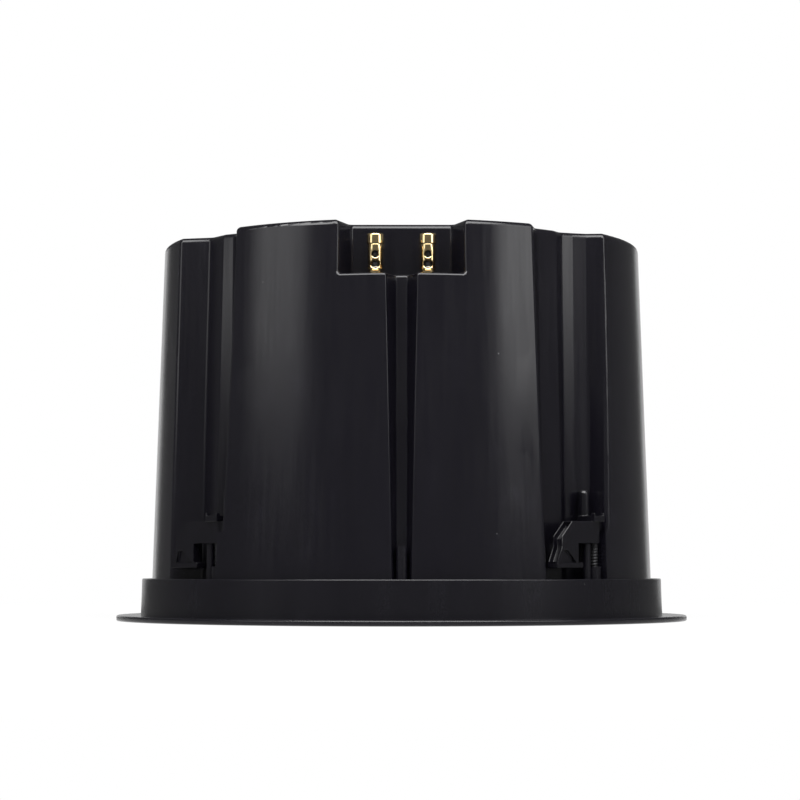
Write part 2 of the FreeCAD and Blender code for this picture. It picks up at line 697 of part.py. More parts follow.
web = block(
    "clamp_web", (-S.guide_offset, -(S.tower_radius / 2), S.arm_bottom),
    (0, S.tower_radius / 2, S.arm_top))
lug = block("clamp_lug", (-(S.lug_width / 2), 0, S.arm_top - S.lug_height),
            (S.lug_width / 2, S.lug_offset + S.lug_width / 2, S.arm_top))
lips = []
for i, low in enumerate((-S.plate_left, S.plate_right - S.lip_width)):
    lips.append(block(f"clamp_lip_{i}", (S.plate_front - S.lip_width * 2, low, plate_top),
                      (S.plate_front, low + S.lip_width, plate_top + S.lip_height)))
clamp_solid = fuse("clamp_solid", [arm, hub, foot, plate, plate_end, tower, crown, web, lug] + lips)
clamp_bore = cylinder("clamp_bore", S.clamp_screw_radius + S.thread_play, 0, plate_top + OVERRUN)
socket_radius = S.guide_radius + S.guide_play
socket_end = tower_top - S.tower_crown
tower_socket = cylinder("tower_socket", socket_radius, S.arm_bottom - OVERRUN, socket_end, -S.guide_offset)
rib_room = side_extrusion("rib_room", [
    (-(S.notch_left + S.rib_width), S.foot_thickness),
    (-(S.shin_toe - S.rib_width * 2), S.foot_thickness),
    (-(S.arm_bend - S.rib_width), S.arm_bend_bottom - S.rib_width),
    (-(S.arm_bend - S.rib_width * 3), S.arm_bend_bottom - S.rib_width),
], S.rib_recess, S.arm_width / 2 - S.rib_recess / 2)
clamp_form = cut("clamp_form", clamp_solid, fuse("clamp_cuts", [clamp_bore, tower_socket, rib_room]))
for i, angle in enumerate(clamp_angles, start=1):
    x, y = polar(clamp_radius, angle)
    node(f"clamp_{i}", copy_at(f"clamp_{i}", clamp_form, x, y, foot_height, angle))
    node(f"clamp_screw_{i}", copy_at(f"clamp_screw_{i}", clamp_screw, x, y, S.pocket_front, angle))

# wire terminals, drawn with their axis on Z and the recess floor at zero

post_form = turned("post_form", [
    (0, -(S.box_wall + S.post_tail)),
    (S.post_tail_radius, -(S.box_wall + S.post_tail)),
    (S.post_tail_radius, 0),
    (S.post_collar_radius, 0),
    (S.post_collar_radius, S.post_collar),
    (S.post_radius, S.post_collar),
    (S.post_radius, S.post_height),
    (S.post_bore, S.post_height),
    (S.post_bore, -S.spring_seat),
    (0, -S.spring_seat),
])


def cross_hole(name, radius, height, half_length):
    """A round hole along Y."""
    hole = bind(make("Part::Cylinder", name), Radius=radius, Height=half_length * 2)
    hole.Placement = FreeCAD.Placement(FreeCAD.Vector(), FreeCAD.Rotation(FreeCAD.Vector(1, 0, 0), 90))
    return bind(hole, Placement__Base__y=half_length, Placement__Base__z=height)


sleeve = cut("sleeve_form", post_form, cross_hole(
    "sleeve_hole", S.sleeve_hole_radius, S.sleeve_hole_height, S.post_collar_radius))
wire_hole_height = S.sleeve_hole_height + S.press_travel
stem_end = wire_hole_height - S.wire_hole_radius - S.stem_wall
cap_bottom = S.post_height + S.cap_gap
cap_top = cap_bottom + S.cap_height
cap_turning = turned("cap_turning", [
    (0, stem_end),
    (S.stem_radius, stem_end),
    (S.stem_radius, cap_top - S.cap_roof),
    (S.cap_bore, cap_top - S.cap_roof),
    (S.cap_bore, cap_bottom),
    (S.cap_radius, cap_bottom),
    (S.cap_radius, cap_top - S.cap_bevel),
    (S.cap_radius - S.cap_bevel, cap_top),
    (0, cap_top),
])
wire_hole = cross_hole("wire_hole", S.wire_hole_radius, wire_hole_height, S.cap_radius)
cap_form = cut("cap_form", cap_turning, wire_hole)
tag_bottom = -(S.box_wall + S.tag_thickness)
tail_hole = cylinder("tail_hole", S.post_tail_radius + S.hole_play, tag_bottom - S.nut_height - OVERRUN, 0)
tag_blank = block("tag_blank", (-(S.tag_width / 2), -(S.tag_width / 2), tag_bottom),
                  (S.tag_width / 2, S.tag_length, -S.box_wall))
tag_eye = cylinder("tag_eye", S.nut_radius, tag_bottom, -S.box_wall)
tag_form = cut("tag_form", fuse("tag_flat", [tag_blank, tag_eye]), tail_hole)
nut_blank = bind(make("Part::Prism", "nut_blank"), Circumradius=S.nut_radius, Height=S.nut_height)
nut_blank.Polygon = 6
place(nut_blank, 0, 0, tag_bottom - S.nut_height)
nut_form = cut("nut_form", nut_blank, tail_hole)
spring_length = S.spring_seat + stem_end
spring_climb = spring_length - S.spring_wire * 2
spring_path = make("Part::Helix", "spring_path")
bind(spring_path, Radius=S.spring_radius, Height=spring_climb, Pitch=spring_climb / S.spring_turns)
place(spring_path, 0, 0, S.spring_wire - S.spring_seat)
spring_section = make("Sketcher::SketchObject", "spring_section")
spring_section.Placement = FreeCAD.Placement(FreeCAD.Vector(), FreeCAD.Rotation(FreeCAD.Vector(1, 0, 0), 90))
bind(spring_section, Placement__Base__x=S.spring_radius, Placement__Base__z=S.spring_wire - S.spring_seat)
spring_section.addGeometry(Part.Circle(FreeCAD.Vector(), FreeCAD.Vector(0, 0, 1), S.spring_wire.value))
spring_section.addConstraint(Sketcher.Constraint("Coincident", 0, 3, -1, 1))
wire_size = spring_section.addConstraint(Sketcher.Constraint("Radius", 0, S.spring_wire.value))
spring_section.setExpression(f"Constraints[{wire_size}]", S.spring_wire.text)
spring_form = make("Part::Sweep", "spring_form")
spring_form.Sections = [spring_section]
spring_form.Spine = (spring_path, [])
spring_form.Solid = True
spring_form.Frenet = True
nuts = []
tags = []
for side, x in terminal_sides:
    spot = (x, -terminal_depth, recess_floor)
    node(f"terminal_post_{side}", copy_at(f"terminal_post_{side}", sleeve, *spot))
    node(f"terminal_cap_{side}", copy_at(f"terminal_cap_{side}", cap_form, *spot))
    node(f"terminal_spring_{side}", copy_at(f"terminal_spring_{side}", spring_form, *spot))
    nuts.append(copy_at(f"terminal_nut_{side}", nut_form, *spot))
    tags.append(copy_at(f"terminal_tag_{side}", tag_form, *spot))
node("terminal_nuts", gather("terminal_nuts", nuts))
node("terminal_tags", gather("terminal_tags", tags))

# woofer, in front of the baffle

flange_front = S.baffle_front - S.basket_seal - S.basket_sheet
flange_back = S.baffle_front - S.basket_seal
shelf = flange_front + S.shelf_rise
basket_back = flange_front + S.basket_depth
basket_turning = turned("basket_turning", [
    (basket_radius, flange_front),
    (basket_radius, flange_back),
    (basket_throat, flange_back),
    (basket_throat, flange_front + S.basket_knee),
    (S.shelf_radius, shelf),
    (S.basket_back_radius, shelf),
    (S.basket_back_radius, basket_back),
    (S.gap_radius + S.basket_sheet, basket_back),
    (S.gap_radius + S.basket_sheet, basket_back - S.basket_sheet),
    (S.basket_back_radius - S.basket_sheet, basket_back - S.basket_sheet),
    (S.basket_back_radius - S.basket_sheet, shelf - S.basket_sheet),
    (S.shelf_radius - S.basket_sheet, shelf - S.basket_sheet),
    (basket_throat - S.basket_sheet, flange_front + S.basket_knee - S.basket_sheet),
    (basket_throat - S.basket_sheet, flange_front),
])
window_reach = S.basket_back_radius + S.basket_sheet * 2
window = block(
    "window", (window_reach, -(S.window_width / 2), flange_front + S.window_bottom),
    (basket_radius, S.window_width / 2, flange_front + S.window_top))
window_angles = [dim(360) / S.window_count * i for i in range(int(S.window_count.value))]
windows = ring_of("basket_window", window, 0, window_angles)
flange_hole = cylinder("flange_hole", small_hole, flange_front - OVERRUN, S.baffle_front + OVERRUN)
flange_holes = ring_of("basket_hole", flange_hole, woofer_screw_circle, woofer_screw_angles)
node("woofer_basket", cut("woofer_basket", basket_turning, fuse("basket_openings", windows + flange_holes)))
seal_ring = turned("seal_ring", [
    (woofer_opening, flange_back), (basket_radius, flange_back),
    (basket_radius, S.baffle_front), (woofer_opening, S.baffle_front),
])
seal_holes = ring_of("seal_hole", flange_hole, woofer_screw_circle, woofer_screw_angles)
node("woofer_gasket", cut("woofer_gasket", seal_ring, fuse("seal_openings", seal_holes)))
node("woofer_screws", gather("woofer_screws", ring_of(
    "woofer_screw", small_screw, woofer_screw_circle, woofer_screw_angles, flange_front)))

plate_back = basket_back + S.motor_plate
magnet_back = plate_back + S.magnet_height
yoke_back = magnet_back + S.yoke_plate
node("motor_plate", turned("motor_plate_ring", [
    (S.gap_radius, basket_back), (S.motor_plate_radius, basket_back),
    (S.motor_plate_radius, plate_back), (S.gap_radius, plate_back),
]))
node("ring_magnet", turned("ring_magnet", [
    (S.magnet_bore, plate_back), (S.magnet_radius, plate_back),
    (S.magnet_radius, magnet_back), (S.magnet_bore, magnet_back),
]))
node("motor_yoke", turned("motor_yoke", [
    (S.pole_bore, basket_back - S.pole_lead), (S.pole_radius, basket_back - S.pole_lead),
    (S.pole_radius, magnet_back), (S.yoke_radius, magnet_back),
    (S.yoke_radius, yoke_back), (S.pole_bore, yoke_back),
]))
former_out = S.former_radius + S.former_wall
node("voice_coil_former", turned("voice_coil_former", [
    (S.former_radius, flange_front + S.former_front), (former_out, flange_front + S.former_front),
    (former_out, plate_back + S.former_overrun), (S.former_radius, plate_back + S.former_overrun),
]))
node("voice_coil", turned("voice_coil", [
    (former_out, basket_back - S.coil_overhang), (former_out + S.coil_wall, basket_back - S.coil_overhang),
    (former_out + S.coil_wall, plate_back + S.coil_overhang), (former_out, plate_back + S.coil_overhang),
]))
cone_front = flange_front + S.cone_edge_depth
neck_front = flange_front + S.cone_neck_depth
node("woofer_cone", turned("woofer_cone", [
    (cone_edge_radius, cone_front),
    (cone_edge_radius, cone_front + S.cone_sheet),
    (cone_edge_radius - S.cone_lip, cone_front + S.cone_sheet),
    (former_out, neck_front + S.cone_sheet, S.cone_sweep, 1),
    (former_out, neck_front),
    (cone_edge_radius - S.cone_lip, cone_front, S.cone_sweep + S.cone_sheet, -1),
]))
lip_front = flange_front - S.surround_sheet
inner_lip = cone_front - S.surround_sheet
roll_crest = surround_outer - S.surround_sheet
roll_foot = cone_edge_radius + S.surround_sheet


def roll_radius(span):
    """Radius of the half roll over a span, a little fuller than a half circle on its chord."""
    return root(span * span + S.cone_edge_depth * S.cone_edge_depth) / 2 * S.roll_fullness


node("woofer_surround", turned("woofer_surround", [
    (cone_edge_radius - S.cone_lip, cone_front),
    (cone_edge_radius - S.cone_lip, inner_lip),
    (cone_edge_radius, inner_lip),
    (surround_outer, lip_front, roll_radius(surround_outer - cone_edge_radius), 1),
    (surround_outer + S.surround_lip, lip_front),
    (surround_outer + S.surround_lip, flange_front),
    (roll_crest, flange_front),
    (roll_foot, cone_front, roll_radius(roll_crest - roll_foot), -1),
]))
spider_front = shelf - S.basket_sheet - S.spider_sheet
spider_inner = S.spider_outer - S.spider_lip
spider_span = spider_inner - former_out
spider_points = [(S.spider_outer, spider_front), (spider_inner, spider_front)]
waves = int(S.spider_waves.value)
for i in range(1, waves + 1):
    height = spider_front + S.spider_rise * (i / waves) + S.spider_wave * (i % 2 if i < waves else 0)
    spider_points.append((spider_inner - spider_span * (i / waves), height))
spider_back = [(radius, height + S.spider_sheet) for radius, height in reversed(spider_points)]
node("woofer_spider", turned("woofer_spider", spider_points + spider_back))

# tweeter, carried on a stalk through the pole

face_back = S.tweeter_front + S.face_thickness
cup_back = S.tweeter_front + S.tweeter_depth
stalk_end = cup_back - S.tweeter_wall - S.stalk_lead
stalk_radius = S.pole_bore - S.stalk_play
node("tweeter_stalk", turned("tweeter_stalk", [
    (0, stalk_end), (stalk_radius, stalk_end), (stalk_radius, yoke_back),
    (S.stalk_head_radius, yoke_back), (S.stalk_head_radius, yoke_back + S.stalk_head),
    (0, yoke_back + S.stalk_head),
]))
node("tweeter_housing", turned("tweeter_housing", [
    (S.pole_bore, cup_back), (S.tweeter_radius, cup_back), (S.tweeter_radius, face_back),
    (S.tweeter_radius - S.tweeter_wall, face_back),
    (S.tweeter_radius - S.tweeter_wall, cup_back - S.tweeter_wall),
    (S.pole_bore, cup_back - S.tweeter_wall),
]))
node("tweeter_magnet", turned("tweeter_magnet", [
    (0, stalk_end - S.tweeter_magnet_height), (S.tweeter_magnet_radius, stalk_end - S.tweeter_magnet_height),
    (S.tweeter_magnet_radius, stalk_end), (0, stalk_end),
]))
node("tweeter_face", turned("tweeter_face", [
    (S.face_opening, face_back - S.face_thickness / 2), (S.face_opening + S.face_thickness, S.tweeter_front),
    (S.face_radius, S.tweeter_front), (S.face_radius, face_back), (S.face_opening, face_back),
]))
dome_front = face_back - S.dome_height
dome_inside = S.dome_radius - S.dome_sheet


def sphere_radius(radius):
    """Radius of the ball whose cap has the dome's height on a rim of this radius."""
    return (radius * radius + S.dome_height * S.dome_height) / (S.dome_height * 2)


node("tweeter_dome", turned("tweeter_dome", [
    (0, dome_front), (S.dome_radius, face_back, sphere_radius(S.dome_radius), 1),
    (S.dome_radius + S.dome_lip, face_back), (S.dome_radius + S.dome_lip, face_back + S.dome_sheet),
    (dome_inside, face_back + S.dome_sheet), (0, dome_front + S.dome_sheet, sphere_radius(dome_inside), -1),
]))

# crossover board under the roof of the box

board_bottom = board_top - S.board_thickness
board_low = S.board_centre - S.board_width / 2
board_high = S.board_centre + S.board_width / 2
board_blank = block("board_blank", (-(S.board_length / 2), board_low, board_bottom),
                    (S.board_length / 2, board_high, board_top))
board_holes = [
    cylinder(f"board_hole_{i}", board_hole, board_bottom - OVERRUN, board_top + OVERRUN, x, y)
    for i, (x, y) in enumerate(board_corners)]
node("crossover_board", cut("crossover_board", board_blank, fuse("board_drilling", board_holes)))
node("crossover_screws", gather("crossover_screws", [
    copy_at(f"crossover_screw_{i}", board_screw, x, y, board_bottom)
    for i, (x, y) in enumerate(board_corners)]))
winding_low = board_bottom - S.inductor_height
winding = turned("winding", [
    (S.inductor_bore, winding_low), (S.inductor_radius, winding_low),
    (S.inductor_radius, board_bottom), (S.inductor_bore, board_bottom),
])
node("crossover_inductors", gather("crossover_inductors", [
    copy_at("inductor_left", winding, -S.inductor_place, S.board_centre - S.capacitor_place / 2),
    copy_at("inductor_right", winding, S.inductor_place, S.board_centre - S.capacitor_place / 2),
]))
capacitor = bind(make("Part::Cylinder", "capacitor"), Radius=S.capacitor_radius, Height=S.capacitor_length)
capacitor.Placement = FreeCAD.Placement(FreeCAD.Vector(), FreeCAD.Rotation(FreeCAD.Vector(0, 1, 0), 90))
bind(capacitor, Placement__Base__z=board_bottom - S.capacitor_radius)
capacitor_row = S.board_centre + S.capacitor_place
node("crossover_capacitors", gather("crossover_capacitors", [
    copy_at("capacitor_left", capacitor, -(S.capacitor_length + S.capacitor_gap / 2), capacitor_row),
    copy_at("capacitor_right", capacitor, S.capacitor_gap / 2, capacitor_row),
]))
resistor_y = board_low + S.resistor_inset
node("crossover_resistor", block(
    "crossover_resistor", (-(S.resistor_length / 2), resistor_y, board_bottom - S.resistor_side),
    (S.resistor_length / 2, resistor_y + S.resistor_side, board_bottom)))

# check every object, then write one file per sub-part

doc.recompute()
for obj in doc.Objects:
    if "Invalid" in obj.State or "Error" in obj.State:
        raise RuntimeError(f"{obj.Name} did not build: {obj.State}")
os.makedirs("parts", exist_ok=True)
for label, obj in nodes.items():
    if obj.Shape.isNull() or not obj.Shape.isValid():
        raise RuntimeError(f"{label} has no valid shape")
    obj.Shape.exportStep(f"parts/{label}.step")
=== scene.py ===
import bpy
import json
import math
from mathutils import Matrix, Vector


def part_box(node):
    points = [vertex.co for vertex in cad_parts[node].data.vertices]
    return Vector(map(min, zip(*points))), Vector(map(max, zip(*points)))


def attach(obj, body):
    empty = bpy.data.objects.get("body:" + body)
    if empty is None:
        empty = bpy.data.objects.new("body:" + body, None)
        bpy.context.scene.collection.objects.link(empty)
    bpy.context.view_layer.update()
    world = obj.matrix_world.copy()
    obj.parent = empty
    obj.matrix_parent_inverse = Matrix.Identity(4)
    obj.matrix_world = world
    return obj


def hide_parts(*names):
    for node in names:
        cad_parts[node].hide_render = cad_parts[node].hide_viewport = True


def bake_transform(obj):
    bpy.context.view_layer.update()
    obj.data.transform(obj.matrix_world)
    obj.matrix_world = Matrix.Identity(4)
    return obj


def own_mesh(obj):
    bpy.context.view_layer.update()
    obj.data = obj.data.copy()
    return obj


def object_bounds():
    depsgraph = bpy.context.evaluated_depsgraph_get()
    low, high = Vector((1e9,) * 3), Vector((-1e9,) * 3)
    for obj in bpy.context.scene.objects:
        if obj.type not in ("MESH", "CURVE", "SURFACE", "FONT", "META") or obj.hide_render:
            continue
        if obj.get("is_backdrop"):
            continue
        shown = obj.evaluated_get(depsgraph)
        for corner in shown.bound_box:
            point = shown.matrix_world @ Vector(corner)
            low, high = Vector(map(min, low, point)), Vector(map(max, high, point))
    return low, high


bl_info = {
    "name": "Ceiling speaker",
    "version": (1, 0, 0),
    "blender": (4, 5, 0),
    "location": "View3D > Sidebar > Speaker",
    "description": "Dresses the packed ceiling speaker with finishes, fittings and a studio",
    "category": "Object",
}

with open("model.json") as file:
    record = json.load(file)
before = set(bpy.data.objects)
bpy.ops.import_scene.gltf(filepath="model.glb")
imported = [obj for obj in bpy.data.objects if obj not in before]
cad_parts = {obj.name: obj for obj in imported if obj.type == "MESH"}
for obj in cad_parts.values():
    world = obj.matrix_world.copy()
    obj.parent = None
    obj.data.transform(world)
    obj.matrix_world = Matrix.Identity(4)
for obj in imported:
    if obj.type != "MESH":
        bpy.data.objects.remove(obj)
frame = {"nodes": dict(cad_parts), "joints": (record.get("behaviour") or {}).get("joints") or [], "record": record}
cad_low, cad_high = (Vector(corner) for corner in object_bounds())


# settings


class StudioSettings(bpy.types.PropertyGroup):
    """Camera, floor and lights."""

    camera_place: bpy.props.FloatVectorProperty(
        name="Camera place", description="Where the camera stands",
        default=(-0.00076, -1.2, 0.0252), subtype="TRANSLATION", unit="LENGTH")
    camera_pitch: bpy.props.FloatProperty(
        name="Camera pitch", description="How far the camera looks up", default=math.radians(4.14),
        subtype="ANGLE")
    camera_lens: bpy.props.FloatProperty(
        name="Lens", description="Focal length in millimetres on a 36 mm sensor", default=105.75)
    left_softbox: bpy.props.FloatProperty(
        name="Left softbox", description="Power of the tall softbox on the left",
        default=3.3, unit="POWER")
    right_softbox: bpy.props.FloatProperty(
        name="Right softbox", description="Power of the tall softbox on the right",
        default=5.9, unit="POWER")
    overhead: bpy.props.FloatProperty(
        name="Overhead", description="Power of the softbox above the camera",
        default=58.0, unit="POWER")
    ambient: bpy.props.FloatProperty(
        name="Ambient", description="Strength of the even light from the white surroundings",
        default=0.35)
    curtain_tone: bpy.props.FloatProperty(
        name="Curtain", description="Brightness of the grey curtain that the object reflects",
        default=0.135)
    curtain_gap: bpy.props.FloatProperty(
        name="Curtain gap", description="Opening of the curtain behind the object",
        default=math.radians(56.0), subtype="ANGLE")
    floor_tone: bpy.props.FloatVectorProperty(
        name="Floor", description="Colour of the floor sweep",
        default=(0.9, 0.9, 0.9), subtype="COLOR")
    floor_glow: bpy.props.FloatProperty(
        name="Floor glow",
        description="Share of the floor near the object that is seen as plain white",
        default=0.9, subtype="FACTOR")


class FinishSettings(bpy.types.PropertyGroup):
    """Colours of the finishes."""

    moulding_tone: bpy.props.FloatVectorProperty(
        name="Moulding", description="Black of the moulded box and frame",
        default=(0.0036, 0.0032, 0.0054), subtype="COLOR")
    moulding_gloss: bpy.props.FloatProperty(
        name="Moulding gloss", description="Specular level of the moulded plastic",
        default=0.5, subtype="FACTOR")
    gold_tone: bpy.props.FloatVectorProperty(
        name="Gold", description="Plating of the wire terminals",
        default=(0.92, 0.71, 0.38), subtype="COLOR")


class FittingSettings(bpy.types.PropertyGroup):
    """Fineness and small sizes of the modelled fittings."""

    turning_steps: bpy.props.IntProperty(
        name="Turning steps", description="Faces round a turned piece", default=72, min=24)
    edge_ease: bpy.props.FloatProperty(
        name="Edge ease", description="Width of the small bevel on the edges of the clamps",
        default=0.0003, subtype="DISTANCE", unit="LENGTH")
    arm_round: bpy.props.FloatProperty(
        name="Arm round", description="Radius of the rounds along the outer sides of a clamp arm",
        default=0.0005, subtype="DISTANCE", unit="LENGTH")
    arm_rim: bpy.props.FloatProperty(
        name="Arm rim", description="Width of the flat rims beside each arm's trough",
        default=0.0004, subtype="DISTANCE", unit="LENGTH")
    arm_trough: bpy.props.FloatProperty(
        name="Arm trough", description="Depth of the trough between the rims of a clamp arm",
        default=0.0026, subtype="DISTANCE", unit="LENGTH")
    thread_pitch: bpy.props.FloatProperty(
        name="Thread pitch", description="Rise of the clamp screws' thread in one turn",
        default=0.0014, subtype="DISTANCE", unit="LENGTH")
    spring_turns: bpy.props.IntProperty(
        name="Spring turns", description="Turns of each terminal spring", default=6, min=2)
    cone_rings: bpy.props.IntProperty(
        name="Cone rings", description="Raised rings on the cone", default=4, min=0)


# helpers for materials


class Nodes:
    """A material's node tree, built from short calls."""

    def __init__(self, name):
        self.material = bpy.data.materials.new(name)
        self.material.use_nodes = True
        self.tree = self.material.node_tree
        self.shader = self.tree.nodes["Principled BSDF"]
        self.place = self.add("ShaderNodeTexCoord").outputs["Object"]

    def add(self, kind, **sockets):
        node = self.tree.nodes.new(kind)
        for key, value in sockets.items():
            self.set(node, key, value)
        return node

    def set(self, node, key, value):
        socket = node.inputs[key.replace("_", " ")]
        if isinstance(value, bpy.types.NodeSocket):
            self.tree.links.new(value, socket)
        else:
            socket.default_value = value

    def principled(self, **sockets):
        for key, value in sockets.items():
            self.set(self.shader, key, value)

    def stretched(self, scale):
        """Object coordinates with a different scale along each axis."""
        return self.add("ShaderNodeMapping", Vector=self.place, Scale=scale).outputs["Vector"]

    def noise(self, scale, detail=3.0, rough=0.55, vector=None):
        node = self.add("ShaderNodeTexNoise", Vector=vector or self.place, Scale=scale,
                        Detail=detail, Roughness=rough)
        return node.outputs["Fac"]

    def cells(self, scale):
        node = self.add("ShaderNodeTexVoronoi", Vector=self.place, Scale=scale)
        return node.outputs["Distance"]

    def waves(self, scale, direction, distortion=0.0):
        node = self.add("ShaderNodeTexWave", Vector=self.place, Scale=scale, Distortion=distortion)
        node.wave_type = "BANDS"
        node.bands_direction = direction
        return node.outputs["Fac"]

    def spread(self, value, low, high, start=0.3, end=0.7):
        """A pattern's values brought to a range."""
        node = self.tree.nodes.new("ShaderNodeMapRange")
        limits = {"From Min": start, "From Max": end, "To Min": low, "To Max": high}
        for key, number in limits.items():
            node.inputs[key].default_value = number
        self.set(node, "Value", value)
        return node.outputs["Result"]

    def blend(self, amount, first, second):
        """One colour going over into another."""
        node = self.tree.nodes.new("ShaderNodeMix")
        node.data_type = "RGBA"
        self.tree.links.new(amount, node.inputs["Factor"])
        for socket, tone in ((node.inputs[6], first), (node.inputs[7], second)):
            if isinstance(tone, bpy.types.NodeSocket):
                self.tree.links.new(tone, socket)
            else:
                socket.default_value = (*tone, 1.0)
        return node.outputs[2]

    def total(self, *parts):
        """Weighted sum of patterns, as (value, weight) pairs."""
        result = None
        for value, weight in parts:
            node = self.tree.nodes.new("ShaderNodeMath")
            node.operation = "MULTIPLY_ADD"
            self.tree.links.new(value, node.inputs[0])
            node.inputs[1].default_value = weight
            if result:
                self.tree.links.new(result, node.inputs[2])
            else:
                node.inputs[2].default_value = 0.0
            result = node.outputs[0]
        return result

    def bump(self, height, strength, distance):
        node = self.add("ShaderNodeBump", Height=height, Strength=strength, Distance=distance)
        self.principled(Normal=node.outputs["Normal"])


def darker(tone, share):
    return tuple(channel * share for channel in tone)


def moulded_plastic(name, tone, gloss, roughness, grain, drawn=0.0):
    """Moulded plastic: a fine grain, marks and streaks along the draw, light wear and some dust."""
    skin = Nodes(name)
    flow = skin.noise(9.0, 4.0, 0.6, skin.stretched((6.0, 6.0, 0.7)))
    cloud = skin.noise(14.0, 3.0)
    fine = skin.noise(2600.0, 2.0)
    wear = skin.spread(skin.noise(60.0, 6.0, 0.7), 0.0, 1.0, 0.56, 0.72)
    worn = skin.blend(wear, tone, tuple(channel * 1.5 + 0.001 for channel in tone))
    shade = skin.blend(skin.spread(flow, 0.0, 1.0), darker(tone, 0.82), worn)
    dust = skin.total((skin.cells(75.0), -1.0), (skin.noise(22.0, 2.0), 0.1))
    shade = skin.blend(skin.spread(dust, 0.0, 0.5, 0.022, 0.04), shade, (0.14, 0.14, 0.14))
    marks = skin.total((flow, 0.5), (cloud, 0.3), (fine, 0.2))
    rough = skin.spread(marks, roughness - 0.03, roughness + 0.05)
    if drawn:
        streaks = skin.noise(9.0, 3.0, 0.6, skin.stretched((55.0, 55.0, 2.2)))
        rough = skin.total((rough, 1.0), (skin.spread(streaks, -drawn, drawn), 1.0))
    skin.principled(Base_Color=shade, Roughness=rough, Specular_IOR_Level=gloss)
    skin.bump(skin.total((fine, 1.0), (flow, 0.6)), grain, 0.00006)
    return skin.material


def plated_metal(name, tone, roughness, drawn):
    """Plated or drawn metal: faint lines round or along it, and small changes of gloss."""
    skin = Nodes(name)
    lines = skin.noise(900.0, 2.0, 0.5, skin.stretched(drawn))
    cloud = skin.noise(160.0, 3.0)
    shade = skin.blend(skin.spread(cloud, 0.0, 1.0), darker(tone, 0.88), tone)
    rough = skin.spread(skin.total((lines, 0.6), (cloud, 0.4)), roughness * 0.7, roughness * 1.4)
    skin.principled(Base_Color=shade, Metallic=1.0, Roughness=rough)
    skin.bump(lines, 0.08, 0.00004)
    return skin.material


def coated_metal(name, tone, roughness):
    """Steel under a dark coat, with a little orange peel."""
    skin = Nodes(name)
    peel = skin.noise(700.0, 2.0)
    cloud = skin.noise(90.0, 4.0)
    shade = skin.blend(skin.spread(cloud, 0.0, 1.0), darker(tone, 0.75), tone)
    rough = skin.spread(cloud, roughness - 0.06, roughness + 0.08)
    skin.principled(Base_Color=shade, Metallic=0.35, Roughness=rough)
    skin.bump(peel, 0.18, 0.00008)
    return skin.material


def soft_rubber(name, tone, roughness):
    """Rubber or closed-cell foam with a dusty, slightly open surface."""
    skin = Nodes(name)
    pores = skin.cells(900.0)
    dust = skin.noise(70.0, 5.0, 0.65)
    dusty = tuple(channel * 1.6 + 0.004 for channel in tone)
    shade = skin.blend(skin.spread(dust, 0.0, 1.0), tone, dusty)
    rough = skin.spread(dust, roughness - 0.08, roughness + 0.06)
    skin.principled(Base_Color=shade, Roughness=rough, Specular_IOR_Level=0.3)
    skin.bump(skin.total((pores, 0.7), (dust, 0.3)), 0.25, 0.0001)
    return skin.material


def woven_cloth(name, tone, thread, sheen):
    """Resin-stiffened woven cloth: crossing threads with uneven dye."""
    skin = Nodes(name)
    warp = skin.waves(thread, "X", distortion=1.2)
    weft = skin.waves(thread, "Y", distortion=1.2)
    weave = skin.total((warp, 0.5), (weft, 0.5))
    dye = skin.noise(120.0, 4.0)
    shade = skin.blend(skin.spread(weave, 0.0, 1.0), darker(tone, 0.6), tone)
    shade = skin.blend(skin.spread(dye, 0.0, 0.35), shade, darker(tone, 0.7))
    skin.principled(Base_Color=shade, Roughness=skin.spread(weave, 0.92, 0.7), Sheen_Weight=sheen)
    skin.bump(weave, 0.5, 0.00015)
    return skin.material


def pressed_ceramic(name, tone, roughness):
    """Sintered ferrite or ceramic: dry, speckled and slightly pitted."""
    skin = Nodes(name)
    speck = skin.noise(900.0, 3.0, 0.7)
    pits = skin.cells(420.0)
    shade = skin.blend(skin.spread(speck, 0.0, 1.0), darker(tone, 0.7), tone)
    rough = skin.spread(speck, roughness - 0.1, roughness + 0.1)
    skin.principled(Base_Color=shade, Roughness=rough)
    skin.bump(skin.total((pits, 0.6), (speck, 0.4)), 0.3, 0.0001)
    return skin.material


def wound_wire(name, tone, pitch):
    """Layers of enamelled wire lying side by side."""
    skin = Nodes(name)
    turns = skin.waves(pitch, "Z", distortion=0.4)
    cloud = skin.noise(90.0, 3.0)
    shade = skin.blend(skin.spread(turns, 0.0, 1.0, 0.1, 0.9), darker(tone, 0.45), tone)
    skin.principled(Base_Color=shade, Metallic=0.85, Roughness=skin.spread(cloud, 0.24, 0.4))
    skin.bump(turns, 0.6, 0.0002)
    return skin.material


def lacquered_board(name, tone):
    """Glass-fibre board under a green lacquer, with the weave showing faintly."""
    skin = Nodes(name)
    weave = skin.total((skin.waves(700.0, "X"), 0.5), (skin.waves(700.0, "Y"), 0.5))
    cloud = skin.noise(60.0, 3.0)
    shade = skin.blend(skin.spread(cloud, 0.0, 1.0), darker(tone, 0.8), tone)
    skin.principled(Base_Color=shade, Roughness=skin.spread(weave, 0.28, 0.4, 0.2, 0.8))
    skin.bump(weave, 0.1, 0.00005)
    return skin.material


